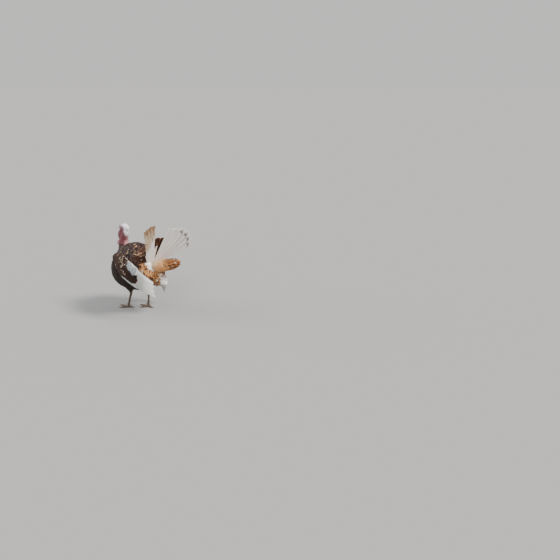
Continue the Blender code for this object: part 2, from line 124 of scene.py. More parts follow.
# ---- the camera: its place from HOME, its turns in degrees and its lens in millimetres ----
CAMERA_PLACE = (3.308, 2.979, 1.863)
CAMERA_LEFT = 15.3
CAMERA_DOWN = 20.7
CAMERA_LENS = 36.06


def tone(red, green, blue):
    """A linear colour from the 0 to 255 values of a paint chart."""
    part = np.array([red, green, blue]) / 255
    return np.where(part <= 0.04045, part / 12.92, ((part + 0.055) / 1.055) ** 2.4)


CHOCOLATE = tone(44, 28, 20)
BLACK_BROWN = tone(24, 17, 13)
MAHOGANY = tone(66, 38, 25)
COPPER = tone(128, 80, 48)
RUST = tone(150, 84, 42)
BUFF = tone(204, 146, 92)
TAN = tone(178, 138, 96)
CREAM = tone(222, 204, 178)
WHITE = tone(238, 233, 228)
PEARL = tone(196, 196, 192)
SLATE = tone(150, 158, 160)
MAUVE = tone(128, 104, 100)
CROWN_WHITE = tone(232, 226, 232)
FACE_MAUVE = tone(150, 128, 146)
WINE = tone(92, 30, 38)
FLESH_PINK = tone(206, 150, 152)
HORN = tone(168, 150, 128)
LEG_BROWN = tone(84, 68, 52)
PUPIL = tone(8, 6, 5)
IRIS_DARK = tone(58, 34, 20)
IRIS_LIGHT = tone(96, 58, 32)
EYE_RIM = tone(30, 20, 18)


# ---- numbers ----
def ramp(value, low, high):
    """0 below low, 1 above high, and a smooth rise between. low may be above high."""
    share = np.clip((np.asarray(value, float) - low) / (high - low), 0, 1)
    return share * share * (3 - 2 * share)


def blend(first, second, share):
    share = np.asarray(share)[..., None]
    return first * (1 - share) + second * share


def spline(stations, count):
    """A smooth run of rows through the stations (Catmull-Rom), with both ends kept."""
    rows = np.array(stations, float)
    rows = np.vstack([2 * rows[0] - rows[1], rows, 2 * rows[-1] - rows[-2]])
    found = []
    for t in np.linspace(0, len(stations) - 1, count):
        k = min(int(t), len(stations) - 2)
        u = t - k
        a, b, c, d = rows[k : k + 4]
        bend = (2 * a - 5 * b + 4 * c - d) * u * u + (3 * b - a - 3 * c + d) * u**3
        found.append(0.5 * (2 * b + (c - a) * u + bend))
    return np.array(found)


def unit(rows):
    return rows / np.maximum(np.linalg.norm(rows, axis=-1, keepdims=True), 1e-9)


def full_turn(count):
    """Angles spread evenly round a circle, from 0 on."""
    return np.linspace(0, 2 * math.pi, count, endpoint=False)


def wobble(points, scale, seed):
    """A smooth random value from -1 to 1 at each point: a few crossed waves."""
    pick = np.random.default_rng(seed)
    total = 0
    for _ in range(5):
        way = pick.normal(size=3)
        total = total + np.sin(points @ way / np.linalg.norm(way) * scale + pick.uniform(0, 6.28))
    return total / 3.2


# ---- meshes ----
def add_object(name, data):
    made = bpy.data.objects.new(name, data)
    bpy.context.scene.collection.objects.link(made)
    return made


def add_mesh(name, points, quads, material, uvs=None, colours=None):
    """A new piece from numpy arrays: points, four-cornered faces, and values kept at each point."""
    quads = np.asarray(quads, np.int32)
    mesh = bpy.data.meshes.new(name)
    mesh.vertices.add(len(points))
    mesh.vertices.foreach_set("co", np.asarray(points, np.float32).ravel())
    mesh.loops.add(quads.size)
    mesh.loops.foreach_set("vertex_index", quads.ravel())
    mesh.polygons.add(len(quads))
    mesh.polygons.foreach_set("loop_start", np.arange(0, quads.size, 4, dtype=np.int32))
    mesh.update(calc_edges=True)
    for layer, values in (uvs or {}).items():
        made = mesh.uv_layers.new(name=layer)
        made.data.foreach_set("uv", np.asarray(values, np.float32)[quads.ravel()].ravel())
    for layer, values in (colours or {}).items():
        made = mesh.color_attributes.new(name=layer, type="FLOAT_COLOR", domain="POINT")
        whole = np.ones((len(points), 4), np.float32)
        whole[:, : values.shape[1]] = values
        made.data.foreach_set("color", whole.ravel())
    mesh.validate()
    mesh.shade_smooth()
    mesh.materials.append(material)
    piece = add_object(name, mesh)
    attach(piece, "root")
    return piece


def grid_quads(rows, columns, wraps=False):
    """The faces of a grid of points, rows by columns. wraps joins the last column to the first."""
    i, j = np.meshgrid(np.arange(rows - 1), np.arange(columns if wraps else columns - 1), indexing="ij")
    i, j = i.ravel(), j.ravel()
    k = (j + 1) % columns
    return np.stack([i * columns + j, i * columns + k, (i + 1) * columns + k, (i + 1) * columns + j], 1)


def many_quads(count, rows, columns):
    """The faces of count equal grids that follow each other in one list of points."""
    one = grid_quads(rows, columns)
    starts = np.arange(count) * rows * columns
    return (one[None] + starts[:, None, None]).reshape(-1, 4)


def closed_rings(points):
    """Rings with both ends drawn to a point."""
    points = points.copy()
    points[0] = points[0].mean(axis=0)
    points[-1] = points[-1].mean(axis=0)
    return points


# ---- sheets: smooth surfaces that feathers lie on ----
AROUND = [(i, j, k) for i in (-1, 0, 1) for j in (-1, 0, 1) for k in (-1, 0, 1)]


class Sheet:
    """A surface as a grid of points. Rows follow each other along the lie, columns go across it."""

    def __init__(self, points, wraps, island):
        self.points = points
        self.wraps = wraps
        self.island = island
        self.rows, self.columns = points.shape[:2]
        self.down = np.gradient(points, axis=0)
        if wraps:
            self.across = (np.roll(points, -1, 1) - np.roll(points, 1, 1)) / 2
            outward = points - points.mean(axis=1, keepdims=True)
        else:
            self.across = np.gradient(points, axis=1)
            outward = points - np.array([HOME[0], HOME[1], 0.36])
        normal = unit(np.cross(self.across, self.down))
        self.normal = normal * np.sign((normal * outward).sum())

    def read(self, values, u, v):
        """Values at any place: u counts columns and v counts rows."""
        v = np.clip(v, 0, self.rows - 1.001)
        u = u % self.columns if self.wraps else np.clip(u, 0, self.columns - 1.001)
        i, j = v.astype(int), u.astype(int)
        k = (j + 1) % self.columns
        a, b = (v - i)[..., None], (u - j)[..., None]
        top = values[i, j % self.columns] * (1 - b) + values[i, k] * b
        low = values[i + 1, j % self.columns] * (1 - b) + values[i + 1, k] * b
        return top * (1 - a) + low * a

    def unwrap(self, u, v):
        """Where a place lies on the unwrap of the whole skin."""
        left, bottom, wide, high = self.island
        around = (u % self.columns if self.wraps else u) / self.columns
        return np.stack([left + around * wide, bottom + v / self.rows * high], -1)

    def scatter(self, spacing, seed, tries=60000):
        """Well spread places, (u, v), each at least spacing(point) from the others. Some may be NOWHERE."""
        pick = np.random.default_rng(seed)
        last = self.columns if self.wraps else self.columns - 1
        u = pick.uniform(0, last, tries)
        v = pick.uniform(0, self.rows - 1.01, tries)
        size = np.linalg.norm(np.cross(self.read(self.across, u, v), self.read(self.down, u, v)), axis=1)
        keep = pick.uniform(0, 1, tries) < size / np.percentile(size, 99)
        u, v = u[keep], v[keep]
        points = self.read(self.points, u, v)
        gaps = spacing(points)
        cell = float(gaps[gaps < NOWHERE].max())
        taken, chosen = {}, []
        for n in range(len(u)):
            gap = gaps[n]
            if gap == NOWHERE:
                continue
            x, y, z = points[n]
            a, b, c = int(x // cell), int(y // cell), int(z // cell)
            near = (q for i, j, k in AROUND for q in taken.get((a + i, b + j, c + k), ()))
            if all((q[0] - x) ** 2 + (q[1] - y) ** 2 + (q[2] - z) ** 2 >= gap * gap for q in near):
                taken.setdefault((a, b, c), []).append((x, y, z))
                chosen.append(n)
        return u[chosen], v[chosen]


def vane_width(t, fullest, tip_power, at_root):
    """Half width of a feather along its length, as a share: at_root at first, blunt at the tip."""
    rise = at_root + (1 - at_root) * np.sin(np.minimum(t / fullest, 1) * math.pi / 2)
    fall = np.maximum(1 - np.maximum((t - fullest) / (1 - fullest), 0) ** tip_power, 0) ** (1 / tip_power)
    return rise * fall


def vane_points(
    sheet, u, v, length, width, shares, across, turn=0.0, lift=0.004, sink=0.001, raised=0.0, fullest=0.62,
    tip_power=2.6, at_root=0.30, camber=0.16, roll=0.0, ragged=0.05,
):
    """Points of many vanes, each following the sheet from its root and rising to its tip.

    shares are the steps along a vane, and across those over its width. roll tips each vane about its
    shaft, as shingles lie, and raised lifts it whole.
    """
    count, rows = len(u), len(shares)
    length, width, turn, lift, raised = (
        np.broadcast_to(value, count) for value in (length, width, turn, lift, raised)
    )
    fray = np.random.default_rng(count).normal(1, ragged, (rows, 2, count))
    points = np.zeros((count, rows, len(across), 3))
    pu, pv = u.astype(float), v.astype(float)
    for i, t in enumerate(shares):
        side, down = sheet.read(sheet.across, pu, pv), sheet.read(sheet.down, pu, pv)
        normal = unit(sheet.read(sheet.normal, pu, pv))
        lie = unit(down)
        beside = np.cross(normal, lie)
        heading = lie * np.cos(turn)[:, None] + beside * np.sin(turn)[:, None]
        beside = np.cross(normal, heading)
        e, f, g = (side * side).sum(1), (side * down).sum(1), (down * down).sum(1)
        det = np.maximum(e * g - f * f, 1e-14)

        def to_sheet(step):
            a, b = (step * side).sum(1), (step * down).sum(1)
            return (g * a - f * b) / det, (e * b - f * a) / det

        full = width / 2 * max(vane_width(t, fullest, tip_power, at_root), 0.04)
        for j, s in enumerate(across):
            half = full * fray[i, int(s > 0)]
            du, dv = to_sheet(beside * (half * s)[:, None])
            near = sheet.read(sheet.points, pu + du, pv + dv)
            out = unit(sheet.read(sheet.normal, pu + du, pv + dv))
            curl = half * (camber * (1 - s * s) - roll * s) * min(t * 3, 1)
            rise = raised - sink + lift * t**1.25 + curl
            points[:, i, j] = near + out * rise[:, None]
        if i + 1 < rows:
            du, dv = to_sheet(heading * (length * (shares[i + 1] - t))[:, None])
            pu, pv = pu + du, pv + dv
    return points


def lay_feathers(
    name, sheet, u, v, length, width, material, looks, rows=8, columns=7, strips=False, **shape
):
    """Many feathers as one mesh, with shape as in vane_points.

    looks holds colours for each feather, or for steps along it: ground, fringe, dusk and marks. strips
    gives each feather its own strip of the unwrap, for long feathers that show their pattern.
    """
    count = len(u)
    shares = np.sin(np.linspace(0, 1, rows) * math.pi / 2) ** 1.15
    across = np.linspace(-1, 1, columns)
    points = vane_points(sheet, u, v, length, width, shares, across, **shape).reshape(-1, 3)
    vane = np.stack(np.meshgrid(across / 2 + 0.5, shares), -1).reshape(1, -1, 2).repeat(count, 0)
    if strips:
        strip = (np.arange(count)[:, None] + 0.04 + vane[..., 0] * 0.92) / count
        patch = np.stack([strip, vane[..., 1]], -1)
    else:
        patch = sheet.unwrap(u, v)[:, None] + (vane - 0.5) * TUFT_PATCH
    colours = {}
    for key, value in looks.items():
        steps = value[:, None] if value.ndim == 2 else value[:, (shares * (value.shape[1] - 1)).astype(int)]
        colours[key] = np.broadcast_to(steps[:, :, None], (count, rows, columns, 3)).reshape(-1, 3)
    uvs = {"OFBake": patch.reshape(-1, 2), "vane": vane.reshape(-1, 2)}
    return add_mesh(name, points, many_quads(count, rows, columns), material, uvs, colours)


# ---- markings: one rule for skin and coat, from the place on the body ----
def bird_place(points):
    """Places measured from the bird's own middle, as x, y and z rows."""
    return (points - HOME).T


def bare_share(points):
    """1 on the bare head and neck, 0 where feathers grow."""
    _, y, z = bird_place(points)
    return ramp(z - 0.16 * np.maximum(-0.09 - y, 0) - 0.6 * np.maximum(y + 0.060, 0), 0.532, 0.552)


def bare_tint(points):
    """Colour of the bare skin: white crown and nape, mauve round the eye, wine face and throat."""
    _, y, z = bird_place(points)
    nape = ramp(y - 0.20 * (0.66 - z), -0.072, -0.046) * ramp(z, 0.595, 0.625)
    crown = ramp(z + 0.10 * (y + 0.07), 0.676, 0.690)
    grain = wobble(points, 260, 3)
    tint = blend(WINE, FLESH_PINK * 0.5, ramp(grain, -0.1, 0.9) * 0.28)
    tint = blend(tint, FLESH_PINK, ramp(y - 0.35 * (z - 0.58), -0.066, -0.046) * ramp(z, 0.635, 0.60))
    cloud = ramp(wobble(points, 170, 5), 0.0, 0.9)
    blush = 0.28 * cloud + 0.25 * ramp(y, -0.07, -0.10)
    pale = blend(CROWN_WHITE, FLESH_PINK * 1.25, blush)
    pale = blend(pale, FACE_MAUVE * 1.35, 0.22 * ramp(wobble(points, 120, 6), 0.1, 0.9))
    tint = blend(tint, pale, np.maximum(nape, crown))
    eye = np.hypot(y - EYE_CENTRE[1], (z - EYE_CENTRE[2]) * 1.25)
    tint = blend(tint, FACE_MAUVE, ramp(eye, 0.021, 0.011) * 0.85)
    lower_face = ramp(z, 0.674, 0.662) * ramp(y, -0.062, -0.078)
    return blend(tint, WINE * 1.15, lower_face * 0.85)


def start_looks(count, ground, fringe, dusk, marks):
    """Each feather's ground, fringe and dusk (its bar's colour), and marks: bar, fringe width and mottle."""
    given = {"ground": ground, "fringe": fringe, "dusk": dusk, "marks": marks}
    return {key: np.tile(np.asarray(value, float), (count, 1)) for key, value in given.items()}


def tint_looks(looks, share, **values):
    """Lays new values over the old ones, as far as each feather's share says."""
    for key, value in values.items():
        looks[key] = blend(looks[key], np.asarray(value, float), share)


def vary_looks(looks, pick, spread, keys=("ground",)):
    """Makes feathers a little lighter or darker than each other, and gives each its own grain."""
    count = len(looks["ground"])
    vary = pick.normal(1, spread, (count, 1))
    for key in keys:
        looks[key] = looks[key] * vary
    looks["grain"] = pick.uniform(0, 1, (count, 3))
    return looks


def coat_looks(points, seed):
    """Colours and marks of each body feather, from its place on the bird."""
    x, y, z = bird_place(points)
    count = len(points)
    pick = np.random.default_rng(seed)
    looks = start_looks(count, BLACK_BROWN * 0.9, CHOCOLATE * 1.25, BLACK_BROWN * 0.5, (0.5, 0.09, 0.25))
    looks["marks"][:, 1] *= pick.uniform(0.4, 1.3, count)
    back_dice = pick.uniform(0, 1, count)
    flank_dice = pick.uniform(0, 1, count)
    patch = wobble(points, 38, 7)
    collar = ramp(z, 0.455, 0.50) * ramp(y, -0.035, -0.075)
    back = ramp(z, 0.43, 0.49) * ramp(y + patch * 0.012, -0.075, -0.025)
    warm = ramp(wobble(points, 62, 18), 0.2, 0.9) * back
    fore_back = back * ramp(y, 0.085, 0.01)
    hind_back = ramp(y, 0.07, 0.10) * ramp(z, 0.35, 0.40)
    # painted highlight: feathers with cream fringes, in a patch on each side of the upper back and a few
    # scattered over the back, as if lit by sun
    from_painted_highlight = np.linalg.norm(np.stack([np.abs(x) - 0.070, y - 0.072, z - 0.518], 1), axis=1)
    painted_highlight = np.maximum((back_dice > 0.95) * back, (back_dice > 0.60) * ramp(from_painted_highlight, 0.044, 0.032))
    flank = ramp(y + patch * 0.02, 0.105, 0.14) * ramp(z, 0.47, 0.43)
    rusty = flank * ramp(wobble(points, 75, 13), 0.05, 0.75)
    pale = flank * ramp(wobble(points, 55, 16), 0.35, 0.85)
    low = flank * ramp(z + patch * 0.02, 0.360, 0.325)
    from_tail = np.linalg.norm(points - HOME - np.array(SADDLE), axis=1)
    saddle = ramp(from_tail + patch * 0.012, 0.080, 0.058) * ramp(y + 0.5 * x, 0.164, 0.168)
    vent = ramp(y - 0.45 * np.abs(x + 0.012), 0.206, 0.224) * ramp(z + patch * 0.006, 0.340, 0.322)
    few_dark, few_pale = flank * (flank_dice > 0.78), flank * (flank_dice < 0.08)
    sandy, straw = blend(BUFF, TAN, 0.35), blend(BUFF, TAN, 0.4)
    dark_rust = blend(RUST, MAHOGANY, 0.5) * 0.6
    layers = (
        (collar, MAUVE * 0.34, MAUVE * 0.55, CHOCOLATE * 0.6, (0.7, 0.10, 0.5)),
        (back, MAHOGANY * 0.80, COPPER * 0.50, BLACK_BROWN * 0.6, (0.75, 0.07, 0.5)),
        (warm, MAHOGANY * 1.3, COPPER * 0.72, CHOCOLATE * 0.6, (0.7, 0.08, 0.5)),
        (fore_back, BLACK_BROWN * 1.1, MAUVE * 0.55, BLACK_BROWN * 0.5, (0.6, 0.06, 0.4)),
        (hind_back, MAHOGANY * 0.7, MAHOGANY * 1.2, BLACK_BROWN * 0.5, (0.8, 0.10, 0.3)),
        # the painted highlight's feathers: copper with cream fringes
        (painted_highlight, COPPER * 0.75, blend(TAN, CREAM, 0.4), BLACK_BROWN * 0.5, (0.7, 0.07, 0.4)),
        (flank, sandy * 0.85, straw * 1.05, RUST * 0.45, (0.85, 0.14, 0.5)),
        (rusty, RUST * 0.6, BUFF * 0.9, RUST * 0.20, (0.9, 0.14, 0.6)),
        (pale, blend(BUFF, CREAM, 0.45), blend(BUFF, CREAM, 0.75), RUST * 0.7, (0.4, 0.14, 0.4)),
        (low, RUST * 0.62, BUFF * 0.85, RUST * 0.20, (0.95, 0.14, 0.6)),
        (few_dark, dark_rust, BUFF * 0.75, BLACK_BROWN * 0.5, (0.9, 0.10, 0.6)),
        (few_pale, blend(TAN, CREAM, 0.4), blend(TAN, CREAM, 0.7), RUST * 0.5, (0.5, 0.12, 0.4)),
        (saddle, WHITE, WHITE, CREAM, (0.15, 0.1, 0.05)),
        (vent, WHITE, WHITE, CREAM, (0.05, 0.1, 0.05)),
    )
    for share, ground, fringe, dusk, marks in layers:
        tint_looks(looks, share, ground=ground, fringe=fringe, dusk=dusk, marks=marks)
    looks = vary_looks(looks, pick, 0.10, ("ground", "fringe"))
    return looks | {key: np.clip(looks[key], 0, 1) for key in ("ground", "fringe")}


# ---- node helpers ----
def new_group(name, inputs, outputs):
    """A shader group with named sockets. inputs and outputs are (name, kind, default) rows."""
    kinds = {"value": "NodeSocketFloat", "colour": "NodeSocketColor", "vector": "NodeSocketVector"}
    group = bpy.data.node_groups.new(name, "ShaderNodeTree")
    for label, kind, default in inputs:
        socket = group.interface.new_socket(name=label, in_out="INPUT", socket_type=kinds[kind])
        if default is not None:
            socket.default_value = default
    for label, kind in outputs:
        group.interface.new_socket(name=label, in_out="OUTPUT", socket_type=kinds[kind])
    return group, group.nodes.new("NodeGroupInput"), group.nodes.new("NodeGroupOutput")


def feed(tree, socket, value):
    """Gives a socket a link from another socket, or a plain value."""
    if isinstance(value, bpy.types.NodeSocket):
        tree.links.new(value, socket)
    else:
        socket.default_value = value


def give(tree, node, **values):
    """Feeds a node's inputs by their names, with _ for a space."""
    for label, value in values.items():
        feed(tree, node.inputs[label.replace("_", " ")], value)


def calc(tree, operation, *values):
    node = tree.nodes.new("ShaderNodeMath")
    node.operation = operation
    for socket, value in zip(node.inputs, values):
        feed(tree, socket, value)
    return node.outputs[0]


def soft_step(tree, value, low, high):
    """0 to 1 as value passes from low to high."""
    node = tree.nodes.new("ShaderNodeMapRange")
    node.interpolation_type = "SMOOTHSTEP"
    give(tree, node, Value=value, From_Min=low, From_Max=high)
    return node.outputs["Result"]


def mix(tree, share, first, second, blend_type="MIX"):
    node = tree.nodes.new("ShaderNodeMix")
    node.data_type = "RGBA"
    node.blend_type = blend_type
    for index, given in ((0, share), (6, first), (7, second)):
        feed(tree, node.inputs[index], given)
    return node.outputs[2]


def noise_value(tree, place, scale, detail=2.0):
    node = tree.nodes.new("ShaderNodeTexNoise")
    give(tree, node, Vector=place, Scale=scale, Detail=detail)
    return node.outputs["Fac"]


def kept_value(tree, layer):
    """A colour kept at each point of the mesh."""
    node = tree.nodes.new("ShaderNodeAttribute")
    node.attribute_name = layer
    return node.outputs["Color"]


def object_place(tree):
    return tree.nodes.new("ShaderNodeTexCoord").outputs["Object"]


def parts_of(tree, vector):
    node = tree.nodes.new("ShaderNodeSeparateXYZ")
    feed(tree, node.inputs[0], vector)
    return node.outputs


def joined(tree, x, y, z):
    node = tree.nodes.new("ShaderNodeCombineXYZ")
    for socket, value in zip(node.inputs, (x, y, z)):
        feed(tree, socket, value)
    return node.outputs[0]


def rgba(colour):
    return (*(float(c) for c in colour), 1.0)


# ---- shared effects ----
def make_barb_comb():
    """The fine slanted barbs of a vane, as a height."""
    group, given, made = new_group(
        "barb_comb",
        [
            ("Vane", "vector", None),
            ("Count", "value", 40.0),
            ("Slant", "value", 0.5),
            ("Grain", "value", 0.0),
        ],
        [("Height", "value"), ("Shade", "value")],
    )
    across, along, _ = parts_of(group, given.outputs["Vane"])
    off_shaft = calc(group, "ABSOLUTE", calc(group, "SUBTRACT", across, 0.5))
    slanted = calc(group, "SUBTRACT", along, calc(group, "MULTIPLY", off_shaft, given.outputs["Slant"]))
    stray = noise_value(group, joined(group, across, along, given.outputs["Grain"]), 5.0)
    bent = calc(group, "ADD", slanted, calc(group, "MULTIPLY", stray, 0.05))
    phase = calc(group, "MULTIPLY", calc(group, "MULTIPLY", bent, given.outputs["Count"]), 2 * math.pi)
    wave = calc(group, "MULTIPLY_ADD", calc(group, "SINE", phase), 0.5, 0.5)
    shaft = soft_step(group, off_shaft, 0.045, 0.015)
    height = calc(group, "MAXIMUM", wave, calc(group, "MULTIPLY", shaft, 2.5))
    shade = calc(group, "MULTIPLY_ADD", calc(group, "MULTIPLY", wave, stray), 0.3, 0.86)
    give(group, made, Height=height, Shade=shade)
    return group


def make_feather_marks():
    """A feather's own pattern: ground, a dark bar inside a pale fringe, mottling and the shaft's line."""
    group, given, made = new_group(
        "feather_marks",
        [
            ("Vane", "vector", None),
            ("Ground", "colour", None),
            ("Fringe", "colour", None),
            ("Dusk", "colour", None),
            ("Bar", "value", 0.5),
            ("Bar Width", "value", 0.2),
            ("Stray", "value", 0.16),
            ("Fringe Width", "value", 0.12),
            ("Mottle", "value", 0.3),
            ("Grain", "value", 0.0),
        ],
        [("Color", "colour")],
    )
    socket = given.outputs
    across, along, _ = parts_of(group, socket["Vane"])
    off_shaft = calc(group, "ABSOLUTE", calc(group, "SUBTRACT", across, 0.5))
    sideways = calc(group, "POWER", calc(group, "MULTIPLY", off_shaft, 1.9), 3.0)
    forward = calc(group, "POWER", soft_step(group, along, 0.25, 1.02), 3.0)
    edge = calc(group, "POWER", calc(group, "ADD", sideways, forward), 0.333)
    narrow = calc(group, "MULTIPLY", across, 0.6)
    place = joined(group, narrow, along, calc(group, "MULTIPLY", socket["Grain"], 9.0))
    stray = noise_value(group, place, 7.0, 3.0)
    edge = calc(group, "MULTIPLY_ADD", calc(group, "SUBTRACT", stray, 0.5), socket["Stray"], edge)
    start = calc(group, "SUBTRACT", 1.0, socket["Fringe Width"])
    fringe = soft_step(group, edge, calc(group, "SUBTRACT", start, 0.02), calc(group, "ADD", start, 0.07))
    bar_start = calc(group, "SUBTRACT", start, socket["Bar Width"])
    bar_full = calc(group, "MULTIPLY_ADD", socket["Bar Width"], 0.45, bar_start)
    bar = soft_step(group, edge, bar_start, bar_full)
    speckle = soft_step(group, noise_value(group, place, 16.0, 4.0), 0.50, 0.62)
    amount = calc(group, "MULTIPLY", speckle, socket["Mottle"])
    speckled = mix(group, amount, socket["Ground"], socket["Dusk"])
    shaft = calc(group, "MULTIPLY", soft_step(group, off_shaft, 0.04, 0.015), 0.45)
    shafted = mix(group, shaft, speckled, socket["Fringe"])
    barred = mix(group, calc(group, "MULTIPLY", bar, socket["Bar"]), shafted, socket["Dusk"])
    give(group, made, Color=mix(group, fringe, barred, socket["Fringe"]))
    return group


def make_skin_folds():
    """Wrinkled, warty bare skin, as a height and a mask of its pale raised grains."""
    group, given, made = new_group(
        "skin_folds",
        [("Scale", "value", 300.0), ("Grain", "value", 0.5)],
        [("Height", "value"), ("Raised", "value")],
    )
    place = object_place(group)
    cells = group.nodes.new("ShaderNodeTexVoronoi")
    cells.feature = "SMOOTH_F1"
    give(group, cells, Vector=place, Scale=given.outputs["Scale"])
    wart = calc(group, "SUBTRACT", 1.0, cells.outputs["Distance"])
    crease = noise_value(group, place, 420.0, 5.0)
    height = calc(group, "MULTIPLY_ADD", crease, given.outputs["Grain"], wart)
    give(group, made, Height=height, Raised=soft_step(group, wart, 0.45, 0.9))
    return group


BARB_COMB = make_barb_comb()
FEATHER_MARKS = make_feather_marks()
SKIN_FOLDS = make_skin_folds()


# ---- finishes ----
def new_finish(name, roughness):
    material = bpy.data.materials.new(name)
    material.use_nodes = True
    tree = material.node_tree
    shader = tree.nodes["Principled BSDF"]
    give(tree, shader, Roughness=roughness)
    return material, tree, shader


def use_group(tree, group, **values):
    node = tree.nodes.new("ShaderNodeGroup")
    node.node_tree = group
    give(tree, node, **values)
    return node.outputs


def bump(tree, shader, height, strength, distance):
    node = tree.nodes.new("ShaderNodeBump")
    give(tree, node, Strength=strength, Distance=distance, Height=height)
    give(tree, shader, Normal=node.outputs["Normal"])


def feather_finish(name, roughness, barbs, slant, sheen, relief, bar_width, stray):
    """Vanes with their own markings, from the values kept on each feather."""
    material, tree, shader = new_finish(name, roughness)
    vane = tree.nodes.new("ShaderNodeUVMap")
    vane.uv_map = "vane"
    bar, rim, mottle = parts_of(tree, kept_value(tree, "marks"))
    grain = parts_of(tree, kept_value(tree, "grain"))[0]
    marks = use_group(
        tree,
        FEATHER_MARKS,
        Vane=vane.outputs["UV"],
        Ground=kept_value(tree, "ground"),
        Fringe=kept_value(tree, "fringe"),
        Dusk=kept_value(tree, "dusk"),
        Bar=bar,
        Bar_Width=bar_width,
        Stray=stray,
        Fringe_Width=rim,
        Mottle=mottle,
        Grain=grain,
    )
    comb = use_group(tree, BARB_COMB, Vane=vane.outputs["UV"], Count=barbs, Slant=slant, Grain=grain)
    shade = joined(tree, comb["Shade"], comb["Shade"], comb["Shade"])
    give(tree, shader, Base_Color=mix(tree, 1.0, marks["Color"], shade, "MULTIPLY"))
    give(tree, shader, Sheen_Weight=sheen, Sheen_Roughness=0.5, Specular_IOR_Level=0.15)
    bump(tree, shader, comb["Height"], relief, 0.0004)
    return material


def skin_finish(name, roughness, scale, relief, pale, coat):
    """Bare skin: the kept tint, paler on its raised grains."""
    material, tree, shader = new_finish(name, roughness)
    folds = use_group(tree, SKIN_FOLDS, Scale=scale, Grain=0.35)
    tint = kept_value(tree, "tint")
    lit = mix(tree, calc(tree, "MULTIPLY", folds["Raised"], pale), tint, rgba(FLESH_PINK))
    give(tree, shader, Base_Color=lit, Coat_Weight=coat, Coat_Roughness=0.35)
    give(tree, shader, Subsurface_Weight=0.12, Subsurface_Radius=(0.004, 0.0015, 0.001))
    bump(tree, shader, folds["Height"], relief, 0.0012)
    return material


def horn_finish(name, colour, tip, masked=False):
    """Horn with fine growth lines. masked gives the bill a fleshy root, and nostrils darkened with painted
    shade.
    """
    material, tree, shader = new_finish(name, 0.35)
    place = object_place(tree)
    cloud = noise_value(tree, place, 160.0, 4.0)
    worn = mix(tree, soft_step(tree, cloud, 0.35, 0.65), rgba(colour), rgba(tip))
    if masked:
        forward, nostril, _ = parts_of(tree, kept_value(tree, "mask"))
        root = soft_step(tree, calc(tree, "MULTIPLY_ADD", cloud, 0.25, forward), 0.50, 0.28)
        worn = mix(tree, root, worn, rgba(FACE_MAUVE * 0.55))
        # painted shade: the nostrils are darkened in colour
        worn = mix(tree, 1.0, worn, joined(tree, nostril, nostril, nostril), "MULTIPLY")
    lines = noise_value(tree, place, 700.0, 3.0)
    give(tree, shader, Base_Color=worn, Roughness=calc(tree, "MULTIPLY_ADD", cloud, 0.3, 0.22))
    bump(tree, shader, lines, 0.25, 0.0006)
    return material


def leg_finish():
    """Scaled leg skin: small cells between creases, which are darkened with painted shade."""
    material, tree, shader = new_finish("leg_scale_finish", 0.5)
    place = object_place(tree)
    cells = tree.nodes.new("ShaderNodeTexVoronoi")
    cells.feature = "DISTANCE_TO_EDGE"
    give(tree, cells, Vector=place, Scale=420.0)
    crease = soft_step(tree, cells.outputs["Distance"], 0.02, 0.16)
    scute = parts_of(tree, kept_value(tree, "scute"))
    crease = calc(tree, "MULTIPLY", calc(tree, "MAXIMUM", crease, scute[1]), scute[0])
    cloud = soft_step(tree, noise_value(tree, place, 60.0, 4.0), 0.35, 0.7)
    scale = mix(tree, cloud, rgba(LEG_BROWN), rgba(LEG_BROWN * 1.9))
    # painted shade: the creases between the scales and at the plates' ends are coloured dark
    give(tree, shader, Base_Color=mix(tree, crease, rgba(LEG_BROWN * 0.4), scale))
    give(tree, shader, Roughness=calc(tree, "MULTIPLY_ADD", crease, -0.15, 0.6))
    bump(tree, shader, crease, 0.6, 0.0008)
    return material


def eye_finish():
    """A wet dark eye: a black pupil in a brown iris, looking out to each side."""
    material, tree, shader = new_finish("eye_finish", 0.06)
    place = parts_of(tree, object_place(tree))
    centre = HOME + np.array(EYE_CENTRE)
    ahead = calc(tree, "SUBTRACT", place[1], float(centre[1]))
    above = calc(tree, "SUBTRACT", place[2], float(centre[2]))
    squares = calc(tree, "ADD", calc(tree, "POWER", ahead, 2.0), calc(tree, "POWER", above, 2.0))
    off = calc(tree, "SQRT", squares)
    iris = soft_step(tree, off, 0.0021, 0.0024)
    rim = soft_step(tree, off, 0.0040, 0.0047)
    cloud = noise_value(tree, joined(tree, *place), 900.0)
    brown = mix(tree, cloud, rgba(IRIS_DARK), rgba(IRIS_LIGHT))
    seen = mix(tree, iris, rgba(PUPIL), brown)
    give(tree, shader, Base_Color=mix(tree, rim, seen, rgba(EYE_RIM)))
    give(tree, shader, Specular_IOR_Level=0.35, Coat_Weight=0.4, Coat_Roughness=0.02)
    return material


def floor_finish():
    material, tree, shader = new_finish("studio_floor", 0.85)
    give(tree, shader, Base_Color=(0.318, 0.315, 0.309, 1.0), Specular_IOR_Level=0.0)
    return material


# feathers: name, roughness, barbs, slant, sheen, relief, the bar's width and how ragged its edge is
CONTOUR = feather_finish("contour_vane", 0.62, 34.0, 0.55, 0.02, 0.35, 0.20, 0.14)
QUILL = feather_finish("quill_vane", 0.5, 150.0, 0.30, 0.05, 0.25, 0.05, 0.05)
DOWN = feather_finish("down_vane", 0.85, 18.0, 0.9, 0.3, 0.6, 0.20, 0.16)
# skins: name, roughness, scale of the folds, relief, how pale the raised grains are, and coat
BARE_SKIN = skin_finish("bare_skin", 0.5, 330.0, 0.55, 0.06, 0.08)
WATTLE_SKIN = skin_finish("wattle_skin", 0.42, 420.0, 0.7, 0.05, 0.2)
CLAW_FINISH = horn_finish("claw_finish", HORN * 0.42, HORN * 0.18)
BILL_FINISH = horn_finish("bill_finish", HORN, HORN * 0.45, True)
BRISTLE_FINISH = horn_finish("bristle_finish", BLACK_BROWN, BLACK_BROWN * 2.0)
LEG_FINISH = leg_finish()
EYE_FINISH = eye_finish()


